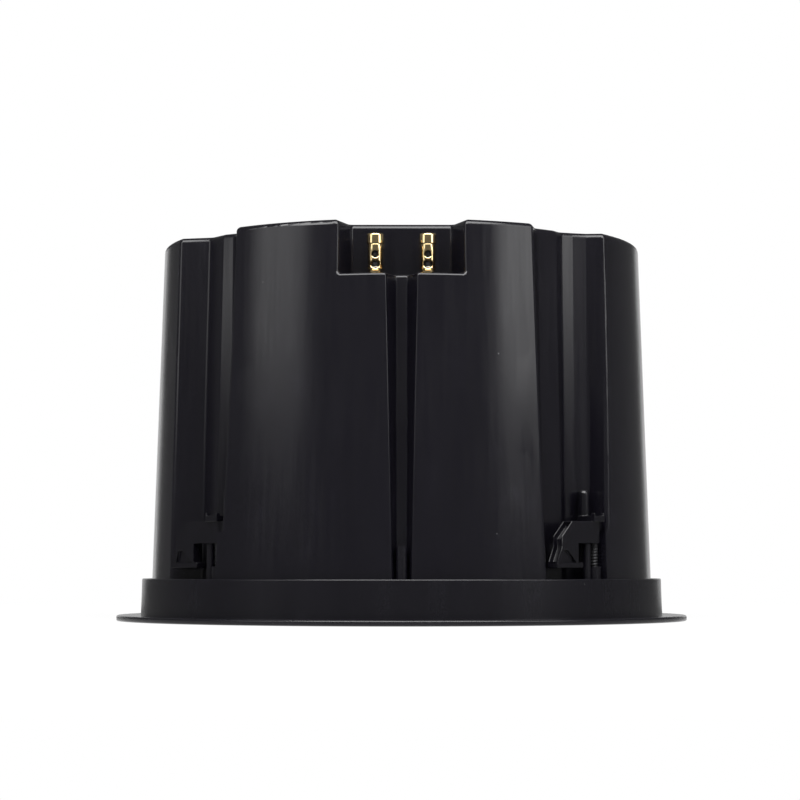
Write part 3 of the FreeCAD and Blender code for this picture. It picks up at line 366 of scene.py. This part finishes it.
def make_finishes(settings):
    """Every finish, under the name of its material slot in the record."""
    black = tuple(settings.moulding_tone)
    gloss = settings.moulding_gloss
    trim = tuple(channel * 1.5 for channel in black)
    gold = tuple(settings.gold_tone)
    return {
        "frame_plastic": moulded_plastic("frame_plastic", black, gloss, 0.25, 0.2),
        "box_plastic": moulded_plastic("box_plastic", black, gloss, 0.2, 0.12, 0.04),
        # The clamps take the box black at 0.85: painted shade, a darker copy of the same moulding for clamps that
        # sit in shade under the box.
        "clamp_plastic": moulded_plastic("clamp_plastic", darker(black, 0.85), gloss, 0.24, 0.15),
        "trim_plastic": moulded_plastic("trim_plastic", trim, gloss + 0.1, 0.42, 0.35),
        "foam": soft_rubber("foam", (0.012, 0.012, 0.013), 0.86),
        "black_steel": coated_metal("black_steel", (0.014, 0.014, 0.016), 0.5),
        "gold_plating": plated_metal("gold_plating", gold, 0.11, (1.0, 1.0, 9.0)),
        "spring_steel": plated_metal("spring_steel", (0.58, 0.58, 0.6), 0.26, (1.0, 1.0, 4.0)),
        "pressed_steel": coated_metal("pressed_steel", (0.03, 0.03, 0.033), 0.42),
        "plated_steel": plated_metal("plated_steel", (0.6, 0.6, 0.61), 0.32, (6.0, 1.0, 1.0)),
        "ferrite": pressed_ceramic("ferrite", (0.055, 0.055, 0.058), 0.62),
        "butyl": soft_rubber("butyl", (0.012, 0.012, 0.012), 0.6),
        "cloth": woven_cloth("cloth", (0.62, 0.44, 0.16), 1400.0, 0.1),
        "cone_plastic": moulded_plastic("cone_plastic", (0.03, 0.03, 0.034), 0.4, 0.4, 0.45),
        "former_metal": plated_metal("former_metal", (0.7, 0.7, 0.71), 0.3, (1.0, 1.0, 8.0)),
        "copper_winding": wound_wire("copper_winding", (0.75, 0.3, 0.13), 600.0),
        "dome_cloth": woven_cloth("dome_cloth", (0.022, 0.022, 0.025), 1700.0, 0.15),
        "board_laminate": lacquered_board("board_laminate", (0.015, 0.12, 0.04)),
        "capacitor_film": moulded_plastic("capacitor_film", (0.6, 0.42, 0.04), 0.5, 0.25, 0.1),
        "resistor_ceramic": pressed_ceramic("resistor_ceramic", (0.75, 0.73, 0.68), 0.6),
    }


finishes = {}
slot_of_node = {piece["node"]: piece["material_slot"] for piece in frame["record"]["subparts"]}


def give_finish(piece, slot):
    piece.data.materials.clear()
    piece.data.materials.append(finishes[slot])


# helpers for modelling


def begin(add, name, **size):
    """Adds a primitive at the origin with nothing else selected, and opens it for editing."""
    bpy.ops.object.select_all(action="DESELECT")
    add(location=(0.0, 0.0, 0.0), **size)
    piece = bpy.context.active_object
    piece.name = name
    piece.data.name = name
    bpy.ops.object.mode_set(mode="EDIT")
    bpy.ops.mesh.select_mode(type="VERT")
    bpy.ops.mesh.select_all(action="SELECT")
    return piece


def settle():
    """Merges what touches, turns the faces outwards and leaves edit mode."""
    bpy.ops.mesh.select_all(action="SELECT")
    bpy.ops.mesh.remove_doubles(threshold=1e-6)
    bpy.ops.mesh.normals_make_consistent(inside=False)
    bpy.ops.object.mode_set(mode="OBJECT")


def only(piece):
    bpy.ops.object.select_all(action="DESELECT")
    piece.select_set(True)
    bpy.context.view_layer.objects.active = piece


def smooth(piece, angle=35.0):
    only(piece)
    bpy.ops.object.shade_smooth_by_angle(angle=math.radians(angle))


def draw_line(points):
    """Draws a chain of edges through (radius, height) points in millimetres, from the selection."""
    bpy.ops.mesh.merge(type="CENTER")
    bpy.ops.transform.translate(value=(points[0][0] / 1000, 0.0, points[0][1] / 1000))
    for (r0, z0), (r1, z1) in zip(points, points[1:]):
        step = ((r1 - r0) / 1000, 0.0, (z1 - z0) / 1000)
        bpy.ops.mesh.extrude_vertices_move(TRANSFORM_OT_translate={"value": step})


def turned(name, points, centre, steps):
    """A piece turned about an upright axis from (radius, height) points in millimetres."""
    piece = begin(bpy.ops.mesh.primitive_plane_add, name, size=0.001)
    draw_line(points)
    bpy.ops.mesh.select_all(action="SELECT")
    bpy.ops.mesh.spin(steps=steps, angle=math.tau, center=(0.0, 0.0, 0.0), axis=(0.0, 0.0, 1.0))
    bpy.ops.mesh.select_all(action="SELECT")
    bpy.ops.transform.translate(value=centre)
    settle()
    smooth(piece)
    return piece


def apply_modifier(piece, kind, **values):
    only(piece)
    modifier = piece.modifiers.new(kind.lower(), kind)
    for key, value in values.items():
        setattr(modifier, key, value)
    bpy.ops.object.modifier_apply(modifier=modifier.name)


def carve(piece, tool):
    """Cuts a tool out of a piece and removes the tool."""
    apply_modifier(piece, "BOOLEAN", operation="DIFFERENCE", solver="EXACT", object=tool)
    bpy.data.objects.remove(tool)


def drill_along_y(piece, place, radius, length):
    """A round hole along Y, in metres."""
    drill = begin(bpy.ops.mesh.primitive_cylinder_add, "drill", vertices=32, radius=radius,
                  depth=length, rotation=(math.radians(90.0), 0.0, 0.0))
    bpy.ops.object.mode_set(mode="OBJECT")
    bpy.ops.object.transform_apply(location=True, rotation=True, scale=True)
    drill.data.transform(Matrix.Translation(place))
    carve(piece, drill)


def pick(piece, kind, wanted):
    """Selects the vertices, edges or faces of a piece that pass a test, and opens it for edits."""
    if piece.mode == "EDIT":
        bpy.ops.object.mode_set(mode="OBJECT")
    only(piece)
    bpy.ops.object.mode_set(mode="EDIT")
    bpy.ops.mesh.select_mode(type=kind)
    bpy.ops.mesh.select_all(action="DESELECT")
    bpy.ops.object.mode_set(mode="OBJECT")
    mesh = piece.data
    members = {"VERT": mesh.vertices, "EDGE": mesh.edges, "FACE": mesh.polygons}[kind]
    chosen = [member for member in members if wanted(member)]
    if not chosen:
        raise RuntimeError(f"nothing to work on in {piece.name}")
    for member in chosen:
        member.select = True
    bpy.ops.object.mode_set(mode="EDIT")


def ease_hole(piece, place, radius, outer, width):
    """Bevels the two rims of a hole along Y where they lie on a round of a given outer radius."""

    def at_rim(spot):
        across = math.hypot(spot.x - place[0], spot.z - place[2])
        round_it = math.hypot(spot.x - place[0], spot.y - place[1])
        return abs(across - radius) < 2e-5 and abs(round_it - outer) < 6e-5

    def on_rim(edge):
        return all(at_rim(piece.data.vertices[i].co) for i in edge.vertices)

    pick(piece, "EDGE", on_rim)
    bpy.ops.mesh.bevel(offset=width, segments=2)
    settle()
    smooth(piece)


def solid_copy(node, name):
    """A copy of one of the frame's solids, with its triangles joined into whole faces."""
    mesh = frame["nodes"][node].data.copy()
    piece = bpy.data.objects.new(name, mesh)
    bpy.context.collection.objects.link(piece)
    only(piece)
    bpy.ops.mesh.customdata_custom_splitnormals_clear()
    bpy.ops.object.mode_set(mode="EDIT")
    bpy.ops.mesh.select_all(action="SELECT")
    bpy.ops.mesh.remove_doubles(threshold=2e-6)
    bpy.ops.mesh.dissolve_limited(angle_limit=math.radians(0.5))
    bpy.ops.object.mode_set(mode="OBJECT")
    return piece


def again(piece, name, matrix):
    """The same piece in another place, with its own mesh."""
    mesh = piece.data.copy()
    mesh.transform(matrix)
    twin = bpy.data.objects.new(name, mesh)
    bpy.context.collection.objects.link(twin)
    return twin


def joined(name, members):
    """Several pieces made one object."""
    only(members[0])
    for member in members:
        member.select_set(True)
    bpy.ops.object.join()
    piece = bpy.context.active_object
    piece.name = name
    piece.data.name = name
    return piece


def fit(piece, slot, body, *nodes):
    """Gives a piece its finish, its body and the solids that it stands for."""
    if not piece.data.polygons:
        raise RuntimeError(f"{piece.name} has no faces")
    give_finish(piece, slot)
    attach(piece, body)
    if nodes:
        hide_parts(*nodes)


def middle_of(node):
    low, high = (Vector(corner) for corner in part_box(node))
    return (low + high) / 2


# pieces


class SPEAKER_OT_finishes(bpy.types.Operator):
    """Make the finishes and put them on the solids of the frame"""

    bl_idname = "speaker.finishes"
    bl_label = "Finishes"

    def execute(self, context):
        finishes.update(make_finishes(context.scene.speaker_finish))
        for name, solid in frame["nodes"].items():
            give_finish(solid, slot_of_node[name])
        return {"FINISHED"}


class SPEAKER_OT_terminals(bpy.types.Operator):
    """Turn the gold spring terminals: sleeves with wire holes, press caps and springs"""

    bl_idname = "speaker.terminals"
    bl_label = "Wire terminals"

    def execute(self, context):
        fittings = context.scene.speaker_fittings
        steps = fittings.turning_steps
        sleeve_height, sleeve_radius, hole_ease = 0.0146, 0.0035, 0.00032
        wire_holes = ((0.0051, 0.0021), (0.0097, 0.0017))
        spot = middle_of("terminal_post_left")
        spot.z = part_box("terminal_post_left")[1][2] - sleeve_height
        sleeve = turned("sleeve_left", [
            (0.0, -12.8), (2.6, -12.8), (2.9, -12.5), (2.9, 0.0), (4.2, 0.0), (4.4, 0.2),
            (4.4, 0.55), (4.2, 0.75), (3.2, 0.75), (3.05, 0.9), (3.05, 2.0), (3.15, 2.25),
            (3.4, 2.45), (3.5, 2.7), (3.5, 14.25), (3.42, 14.5), (3.2, 14.6), (2.55, 14.6),
            (2.4, 14.4), (2.4, -4.6), (0.0, -4.6),
        ], spot, steps)
        for height, radius in wire_holes:
            place = spot + Vector((0.0, 0.0, height))
            drill_along_y(sleeve, place, radius, 0.012)
            ease_hole(sleeve, place, radius, sleeve_radius, hole_ease)
        cap = turned("cap_left", [
            (0.0, 18.2), (3.6, 18.2), (3.6, 14.95), (3.7, 14.8), (3.88, 14.8), (4.0, 14.95),
            (4.0, 18.85), (3.9, 19.2), (3.65, 19.48), (3.3, 19.6), (1.2, 19.6), (0.9, 19.45),
            (0.0, 19.4),
        ], spot, steps)
        plunger = turned("plunger_left", [
            (0.0, 4.4), (1.85, 4.4), (2.05, 4.6), (2.05, 18.2), (0.0, 18.2),
        ], spot, steps)
        drill_along_y(plunger, spot + Vector((0.0, 0.0, 0.0076)), 0.0016, 0.006)
        smooth(plunger)
        spring = terminal_spring(spot, fittings.spring_turns)
        across = Matrix.Translation((-2.0 * spot.x, 0.0, 0.0))
        pieces = {"left": (sleeve, cap, plunger, spring)}
        pieces["right"] = tuple(
            again(piece, piece.name.replace("left", "right"), across) for piece in pieces["left"])
        for side, (sleeve, cap, plunger, spring) in pieces.items():
            fit(sleeve, "gold_plating", "speaker", f"terminal_post_{side}")
            fit(cap, "gold_plating", f"press_cap_{side}", f"terminal_cap_{side}")
            fit(plunger, "black_steel", f"press_cap_{side}")
            fit(spring, "spring_steel", "speaker", f"terminal_spring_{side}")
            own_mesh(spring)
        return {"FINISHED"}


def terminal_spring(spot, turns):
    """A coil of round wire in the sleeve, from its seat up to the stem of the cap."""
    low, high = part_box("terminal_spring_left")
    wire, coil = 0.0003, 0.0016
    spring = begin(bpy.ops.mesh.primitive_circle_add, "spring_left", vertices=12, radius=wire,
                   rotation=(math.radians(90.0), 0.0, 0.0))
    bpy.ops.transform.translate(value=(coil, 0.0, 0.0))
    bpy.ops.object.mode_set(mode="OBJECT")
    bpy.ops.object.transform_apply(location=True, rotation=True, scale=True)
    climb = high[2] - low[2] - 2.0 * wire
    apply_modifier(spring, "SCREW", axis="Z", angle=math.tau, screw_offset=climb / turns,
                   iterations=turns, steps=24, render_steps=24)
    spring.data.transform(Matrix.Translation((spot.x, spot.y, low[2] + wire)))
    only(spring)
    bpy.ops.object.mode_set(mode="EDIT")
    bpy.ops.mesh.select_all(action="SELECT")
    bpy.ops.mesh.fill_holes(sides=0)
    settle()
    smooth(spring, 60.0)
    return spring


class SPEAKER_OT_clamps(bpy.types.Operator):
    """Ease the swing clamps, hollow their arms and give each its threaded screw"""

    bl_idname = "speaker.clamps"
    bl_label = "Swing clamps"

    def execute(self, context):
        fittings = context.scene.speaker_fittings
        clamp = solid_copy("clamp_1", "swing_clamp_moulding_1")
        hollow_arm(clamp, fittings)
        apply_modifier(clamp, "BEVEL", width=fittings.edge_ease, segments=2, limit_method="ANGLE",
                       angle_limit=math.radians(40.0), use_clamp_overlap=False)
        smooth(clamp, 50.0)
        apply_modifier(clamp, "WEIGHTED_NORMAL", mode="FACE_AREA", weight=100, keep_sharp=True)
        bolt = clamp_bolt(fittings)
        axes = [swing_axis(number) for number in (1, 2, 3, 4)]
        start = math.atan2(axes[0].y, axes[0].x)
        for number, axis in enumerate(axes, start=1):
            turn = Matrix.Rotation(math.atan2(axis.y, axis.x) - start, 4, "Z")
            moulding = again(clamp, f"swing_clamp_moulding_{number}", turn) if number > 1 else clamp
            screw = again(bolt, f"clamp_bolt_{number}", turn) if number > 1 else bolt
            smooth(screw)
            fit(moulding, "clamp_plastic", f"swing_clamp_{number}", f"clamp_{number}")
            fit(screw, "black_steel", f"clamp_bolt_{number}", f"clamp_screw_{number}")
        return {"FINISHED"}


def hollow_arm(clamp, fittings):
    """Rounds the arm's outer sides, at its shoulder and shin, and sinks a trough along them."""
    outward = swing_axis(1).normalized()
    along = Vector((outward.y, -outward.x, 0.0))
    arm_start, foot_top = 0.02, 0.029
    facing_out, same_way = 0.6, 0.9995

    def on_arm(face):
        return face.center.dot(along) > arm_start and face.center.z > foot_top

    sides = [face.normal.copy() for face in clamp.data.polygons
             if on_arm(face) and face.normal.dot(along) > facing_out]

    def on_side(face):
        return on_arm(face) and any(face.normal.dot(side) > same_way for side in sides)

    pick(clamp, "FACE", on_side)
    bpy.ops.mesh.region_to_loop()
    bpy.ops.mesh.bevel(offset=fittings.arm_round, segments=3)
    pick(clamp, "FACE", on_side)
    bpy.ops.mesh.inset(thickness=fittings.arm_rim, depth=-fittings.arm_trough, use_even_offset=True)
    settle()


def swing_axis(number):
    joint = next(j for j in frame["joints"] if j["name"] == f"clamp_swing_{number}")
    return Vector(joint["pos_m"])


def cross_recess(head_radius, depth):
    """Two crossed wedges that cut a screwdriver recess, mouth at zero and tip above."""
    arms = []
    for turn in (0.0, 90.0):
        arm = begin(bpy.ops.mesh.primitive_cube_add, "recess_arm", size=1.0)
        bpy.ops.transform.resize(value=(head_radius * 1.15, head_radius * 0.26, depth * 2.0))
        bpy.ops.transform.rotate(value=math.radians(turn), orient_axis="Z",
                                 center_override=(0.0, 0.0, 0.0))
        bpy.ops.object.mode_set(mode="OBJECT")
        for vertex in arm.data.vertices:
            if vertex.co.z > 0.0:
                vertex.co.x *= 0.45
                vertex.co.y *= 0.45
        arms.append(arm)
    carve_tool, other = arms
    apply_modifier(carve_tool, "BOOLEAN", operation="UNION", solver="EXACT", object=other)
    bpy.data.objects.remove(other)
    return carve_tool


def pan_head(name, radius, height, steps):
    """A pan head with its flat side at zero and its crown below, with a cross recess."""
    head = turned(name, [
        (0.0, 0.0), (radius, 0.0), (radius, -height * 0.38), (radius * 0.95, -height * 0.68),
        (radius * 0.8, -height * 0.9), (radius * 0.55, -height), (0.0, -height),
    ], (0.0, 0.0, 0.0), steps)
    tool = cross_recess(radius / 1000, height * 0.6 / 1000)
    tool.data.transform(Matrix.Translation((0.0, 0.0, -height / 1000)))
    carve(head, tool)
    return head


def threaded_shank(name, radius, length, pitch):
    """A threaded rod that climbs from zero, with closed ends, in metres."""
    rod = begin(bpy.ops.mesh.primitive_plane_add, name, size=0.001)
    root = radius * 0.83
    draw_line([(1000 * r, 1000 * z) for r, z in (
        (root, 0.0), (root, pitch * 0.18), (radius, pitch * 0.5), (radius, pitch * 0.62),
        (root, pitch * 0.95), (root, pitch))])
    bpy.ops.object.mode_set(mode="OBJECT")
    turns = round(length / pitch) - 1
    apply_modifier(rod, "SCREW", axis="Z", angle=math.tau, screw_offset=pitch,
                   iterations=turns, steps=28, render_steps=28, use_merge_vertices=True)
    only(rod)
    bpy.ops.object.mode_set(mode="EDIT")
    bpy.ops.mesh.select_all(action="SELECT")
    bpy.ops.mesh.remove_doubles(threshold=1e-6)
    bpy.ops.mesh.fill_holes(sides=0)
    settle()
    return rod


def clamp_bolt(fittings):
    """The screw of the first clamp, head to the front."""
    low, high = (Vector(corner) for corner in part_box("clamp_screw_1"))
    axis = swing_axis(1)
    head_radius, head_height, thread_radius = 3.9, 2.4, 0.00198
    head = pan_head("clamp_bolt_1", head_radius, head_height, 48)
    length = high.z - low.z - head_height / 1000
    shank = threaded_shank("shank", thread_radius, length, fittings.thread_pitch)
    bolt = joined("clamp_bolt_1", [head, shank])
    bolt.data.transform(Matrix.Translation((axis.x, axis.y, low.z + head_height / 1000)))
    return bolt


class SPEAKER_OT_screws(bpy.types.Operator):
    """Set the small screws of the driver and of the box, with their cross recesses"""

    bl_idname = "speaker.screws"
    bl_label = "Small screws"

    def execute(self, context):
        head_radius, head_height = 3.2, 2.0
        for node in ("woofer_screws", "box_screws"):
            low = Vector(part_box(node)[0])
            head = pan_head("head", head_radius, head_height, 32)
            shank = turned("shank", [(0.0, 0.0), (1.6, 0.0), (1.6, 10.4), (0.9, 11.0), (0.0, 11.0)],
                           (0.0, 0.0, 0.0), 24)
            screw = joined("screw", [head, shank])
            seat = low.z + head_height / 1000
            spots = screw_spots(node)
            members = [again(screw, f"{node}_{i}", Matrix.Translation((spot.x, spot.y, seat)))
                       for i, spot in enumerate(spots)]
            bpy.data.objects.remove(screw)
            whole = joined(f"{node}_set", members)
            smooth(whole)
            fit(whole, "black_steel", "speaker", node)
        return {"FINISHED"}


def screw_spots(node):
    """The middles of the separate screws in a node, found from their highest vertices."""
    mesh = frame["nodes"][node].data
    top = max(vertex.co.z for vertex in mesh.vertices)
    widest = 0.006
    groups = []
    for vertex in mesh.vertices:
        if vertex.co.z < top - 1e-5:
            continue
        spot = Vector((vertex.co.x, vertex.co.y, 0.0))
        for group in groups:
            if (group[0] - spot).length < widest:
                group.append(spot)
                break
        else:
            groups.append([spot])
    centres = []
    for group in groups:
        xs = [spot.x for spot in group]
        ys = [spot.y for spot in group]
        centres.append(Vector(((min(xs) + max(xs)) / 2, (min(ys) + max(ys)) / 2, 0.0)))
    return centres


class SPEAKER_OT_driver(bpy.types.Operator):
    """Turn the cone with its rings and the rubber surround, and copy the corrugated spider in cloth"""

    bl_idname = "speaker.driver"
    bl_label = "Driver"

    def execute(self, context):
        fittings = context.scene.speaker_fittings
        cone = turned("driver_cone", cone_outline(fittings.cone_rings), (0.0, 0.0, 0.0), 128)
        fit(cone, "cone_plastic", "cone_assembly", "woofer_cone")
        outer = turned("surround_outer_roll", [
            (89.4, 8.52), (90.25, 8.62), (91.15, 8.84), (91.95, 9.16), (92.5, 9.4), (93.1, 9.52),
            (93.9, 9.6), (95.7, 9.6), (96.1, 9.9), (96.1, 10.6), (91.7, 10.6), (91.0, 10.28),
            (90.3, 10.07), (89.4, 9.96), (89.4, 8.52),
        ], (0.0, 0.0, 0.0), 144)
        fit(outer, "butyl", "speaker", "woofer_surround")
        inner = turned("surround_inner_roll", [
            (89.4, 8.52), (88.47, 8.56), (87.6, 8.73), (86.76, 9.02), (85.97, 9.42), (85.25, 9.94),
            (84.6, 10.55), (84.06, 11.25), (83.61, 12.02), (83.2, 12.85), (82.75, 13.6),
            (82.2, 14.15), (81.4, 14.5), (79.7, 14.6), (79.4, 14.9), (79.4, 15.6), (84.0, 15.6),
            (84.0, 14.85), (84.1, 14.11), (84.3, 13.39), (84.59, 12.7), (85.0, 12.07),
            (85.48, 11.5), (86.04, 11.0), (86.67, 10.59), (87.35, 10.28), (88.1, 10.07),
            (88.81, 9.96), (89.4, 9.96), (89.4, 8.52),
        ], (0.0, 0.0, 0.0), 144)
        give_finish(inner, "butyl")
        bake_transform(inner)
        spider = solid_copy("woofer_spider", "driver_spider")
        smooth(spider)
        give_finish(spider, "cloth")
        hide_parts("woofer_spider")
        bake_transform(spider)
        return {"FINISHED"}


def cone_outline(rings):
    """Front and back of the cone, with low raised rings spaced along its front."""
    front = [(79.4, 15.6), (77.31, 17.06), (75.2, 18.49), (70.91, 21.25), (66.53, 23.87),
             (62.08, 26.34), (57.55, 28.68), (52.94, 30.87), (48.27, 32.92), (43.54, 34.81),
             (38.75, 36.56), (33.9, 38.15), (29.01, 39.59), (24.07, 40.87), (19.1, 42.0)]
    ringed = []
    for i, (radius, height) in enumerate(front):
        ringed.append((radius, height))
        if 3 <= i < 3 + 2 * rings and i % 2 == 1:
            next_radius, next_height = front[i + 1]
            for share, lift in ((0.3, 0.0), (0.42, 0.3), (0.58, 0.3), (0.7, 0.0)):
                ringed.append((radius + (next_radius - radius) * share,
                               height + (next_height - height) * share - lift))
    back = [(19.1, 43.0), (29.01, 40.6), (38.75, 37.58), (48.28, 33.94), (57.55, 29.7),
            (66.54, 24.88), (75.2, 19.5), (79.4, 16.6), (83.0, 16.6), (83.0, 15.6), (79.4, 15.6)]
    return ringed + back


class SPEAKER_OT_tweeter(bpy.types.Operator):
    """Turn the tweeter's flared face and its cloth dome"""

    bl_idname = "speaker.tweeter"
    bl_label = "Tweeter"

    def execute(self, context):
        face = turned("tweeter_flare", [
            (13.0, 9.8), (13.0, 9.35), (13.2, 9.0), (13.7, 8.62), (14.6, 8.3), (15.8, 8.1),
            (17.4, 8.0), (20.4, 8.0), (20.7, 8.25), (21.2, 8.25), (21.5, 8.0), (22.5, 8.0),
            (22.9, 8.15), (23.0, 8.5), (23.0, 9.8), (13.0, 9.8),
        ], (0.0, 0.0, 0.0), 96)
        fit(face, "trim_plastic", "speaker", "tweeter_face")
        dome = turned("tweeter_cloth_dome", [
            (0.0, 5.6), (1.8, 5.68), (3.6, 5.91), (5.4, 6.29), (7.1, 6.82), (8.8, 7.5), (9.9, 8.06),
            (10.6, 8.6), (10.95, 9.05), (11.2, 9.3), (11.6, 9.2), (12.1, 9.1), (12.6, 9.3),
            (12.85, 9.8), (15.7, 9.8), (15.7, 10.4), (12.1, 10.4), (11.4, 9.9), (10.4, 9.2),
            (9.2, 8.5), (7.6, 7.75), (5.2, 6.9), (2.6, 6.37), (0.0, 6.2),
        ], (0.0, 0.0, 0.0), 96)
        fit(dome, "dome_cloth", "speaker", "tweeter_dome")
        return {"FINISHED"}


# stage


def seen_plainly(tree):
    """One for what the camera sees, also in reflections and through glass, and zero for light."""
    path = tree.nodes.new("ShaderNodeLightPath")
    seen = path.outputs["Is Camera Ray"]
    for ray in ("Is Glossy Ray", "Is Transmission Ray"):
        either = tree.nodes.new("ShaderNodeMath")
        either.operation = "MAXIMUM"
        tree.links.new(seen, either.inputs[0])
        tree.links.new(path.outputs[ray], either.inputs[1])
        seen = either.outputs[0]
    return seen


def sweep_material(settings):
    """White sweep: partly plain white to the camera and in reflections, and it keeps the shadow."""
    skin = Nodes("floor_sweep")
    tree = skin.tree
    tone = tuple(settings.floor_tone)
    paper = skin.noise(40.0, 4.0)
    skin.principled(Base_Color=skin.blend(paper, darker(tone, 0.985), tone), Roughness=0.7,
                    Specular_IOR_Level=0.1)
    white = skin.add("ShaderNodeEmission", Strength=1.0)
    reach = skin.add("ShaderNodeVectorMath")
    reach.operation = "LENGTH"
    tree.links.new(skin.place, reach.inputs[0])
    glow = skin.spread(reach.outputs["Value"], settings.floor_glow, 1.0, 0.2, 0.8)
    share = skin.add("ShaderNodeMath")
    share.operation = "MULTIPLY"
    tree.links.new(seen_plainly(tree), share.inputs[0])
    tree.links.new(glow, share.inputs[1])
    mix = skin.add("ShaderNodeMixShader")
    tree.links.new(share.outputs[0], mix.inputs[0])
    tree.links.new(skin.shader.outputs[0], mix.inputs[1])
    tree.links.new(white.outputs[0], mix.inputs[2])
    tree.links.new(mix.outputs[0], tree.nodes["Material Output"].inputs["Surface"])
    return skin.material


def white_surroundings(settings):
    """A white world: plain white to the camera and in reflections, softer as light."""
    world = bpy.data.worlds.new("white_surroundings")
    world.use_nodes = True
    tree = world.node_tree
    backdrop = tree.nodes["Background"]
    backdrop.inputs["Color"].default_value = (1.0, 1.0, 1.0, 1.0)
    level = tree.nodes.new("ShaderNodeMapRange")
    level.inputs["To Min"].default_value = settings.ambient
    level.inputs["To Max"].default_value = 1.0
    tree.links.new(seen_plainly(tree), level.inputs["Value"])
    tree.links.new(level.outputs["Result"], backdrop.inputs["Strength"])
    bpy.context.scene.world = world


def softbox(name, place, target, width, height, power):
    """A rectangular light that faces a point."""
    lamp = bpy.data.lights.new(name, "AREA")
    lamp.shape = "RECTANGLE"
    lamp.size = width
    lamp.size_y = height
    lamp.energy = power
    holder = bpy.data.objects.new(name, lamp)
    bpy.context.collection.objects.link(holder)
    holder.location = place
    holder.rotation_euler = (Vector(target) - Vector(place)).to_track_quat("-Z", "Y").to_euler()


def grey_curtain(settings):
    """A dim tent round the set, open behind the object. It only shows in reflections."""
    radius, height, apron, gap_height = 3.2, 2.6, 0.05, 0.75
    curtain = begin(bpy.ops.mesh.primitive_cylinder_add, "grey_curtain", vertices=120,
                    radius=radius, depth=height, end_fill_type="NOTHING")
    bpy.ops.transform.translate(value=(0.0, 0.0, height / 2))
    bpy.ops.mesh.bisect(plane_co=(0.0, 0.0, gap_height), plane_no=(0.0, 0.0, 1.0))
    pick(curtain, "VERT", lambda vertex: vertex.co.z < gap_height / 2)
    bpy.ops.mesh.extrude_edges_move(TRANSFORM_OT_translate={"value": (0.0, 0.0, 0.0001)})
    bpy.ops.transform.resize(value=(apron, apron, 1.0), center_override=(0.0, 0.0, 0.0))
    pick(curtain, "VERT", lambda vertex: vertex.co.z > height - 0.01)
    bpy.ops.mesh.edge_face_add()

    def in_gap(face):
        behind = math.atan2(face.center.x, face.center.y)
        return abs(behind) < settings.curtain_gap / 2 and face.center.z < gap_height

    pick(curtain, "FACE", in_gap)
    bpy.ops.mesh.delete(type="FACE")
    bpy.ops.object.mode_set(mode="OBJECT")
    cloth = Nodes("grey_curtain")
    glow = cloth.add("ShaderNodeEmission", Strength=settings.curtain_tone)
    cloth.tree.links.new(glow.outputs[0], cloth.tree.nodes["Material Output"].inputs["Surface"])
    curtain.data.materials.append(cloth.material)
    curtain.visible_camera = False
    curtain.visible_diffuse = False
    curtain.visible_shadow = False
    curtain.visible_transmission = False
    curtain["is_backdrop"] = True


class SPEAKER_OT_studio(bpy.types.Operator):
    """Set up the floor, the lights, the white surroundings and the camera"""

    bl_idname = "speaker.studio"
    bl_label = "Studio"

    def execute(self, context):
        settings = context.scene.speaker_studio
        floor_size, floor_drop = 14.0, 0.0002
        bpy.ops.object.select_all(action="DESELECT")
        bpy.ops.mesh.primitive_plane_add(size=floor_size,
                                         location=(0.0, 0.0, cad_low.z - floor_drop))
        floor = context.active_object
        floor.name = "floor"
        bpy.ops.object.transform_apply(location=True, rotation=True, scale=True)
        floor.data.materials.append(sweep_material(settings))
        floor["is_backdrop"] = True
        white_surroundings(settings)
        grey_curtain(settings)
        side, front, middle = 1.265, 0.806, 0.8
        softbox("softbox_left", (-side, -front, middle), (0.0, 0.0, middle), 0.7, 1.0,
                settings.left_softbox)
        softbox("softbox_right", (side, -front, middle), (0.0, 0.0, middle), 0.7, 1.0,
                settings.right_softbox)
        softbox("overhead", (0.0, -0.95, 1.35), (0.0, 0.0, 0.2), 2.2, 1.2, settings.overhead)
        camera = bpy.data.cameras.new("camera")
        camera.lens = settings.camera_lens
        camera.sensor_width = 36.0
        holder = bpy.data.objects.new("camera", camera)
        context.collection.objects.link(holder)
        holder.location = settings.camera_place
        holder.rotation_euler = (math.radians(90.0) + settings.camera_pitch, 0.0, 0.0)
        context.scene.camera = holder
        context.scene.view_settings.view_transform = "Standard"
        return {"FINISHED"}


# sidebar


class SPEAKER_PT_sidebar(bpy.types.Panel):
    """Lists the steps in the order in which they run."""

    bl_label = "Ceiling speaker"
    bl_idname = "SPEAKER_PT_sidebar"
    bl_space_type = "VIEW_3D"
    bl_region_type = "UI"
    bl_category = "Speaker"

    def draw(self, context):
        for operator in operators:
            self.layout.operator(operator.bl_idname)
        scene = context.scene
        for settings in (scene.speaker_studio, scene.speaker_finish, scene.speaker_fittings):
            for name in settings.bl_rna.properties.keys():
                if name not in ("rna_type", "name"):
                    self.layout.prop(settings, name)


operators = (
    SPEAKER_OT_finishes, SPEAKER_OT_terminals, SPEAKER_OT_clamps, SPEAKER_OT_screws,
    SPEAKER_OT_driver, SPEAKER_OT_tweeter, SPEAKER_OT_studio,
)
setting_groups = {
    "speaker_studio": StudioSettings,
    "speaker_finish": FinishSettings,
    "speaker_fittings": FittingSettings,
}


def register():
    for name, group in setting_groups.items():
        bpy.utils.register_class(group)
        setattr(bpy.types.Scene, name, bpy.props.PointerProperty(type=group))
    for operator in operators:
        bpy.utils.register_class(operator)
    bpy.utils.register_class(SPEAKER_PT_sidebar)


def unregister():
    bpy.utils.unregister_class(SPEAKER_PT_sidebar)
    for operator in reversed(operators):
        bpy.utils.unregister_class(operator)
    for name, group in setting_groups.items():
        delattr(bpy.types.Scene, name)
        bpy.utils.unregister_class(group)


def main():
    register()
    bpy.ops.speaker.finishes()
    bpy.ops.speaker.terminals()
    bpy.ops.speaker.clamps()
    bpy.ops.speaker.screws()
    bpy.ops.speaker.driver()
    bpy.ops.speaker.tweeter()
    bpy.ops.speaker.studio()


if __name__ == "__main__":
    main()
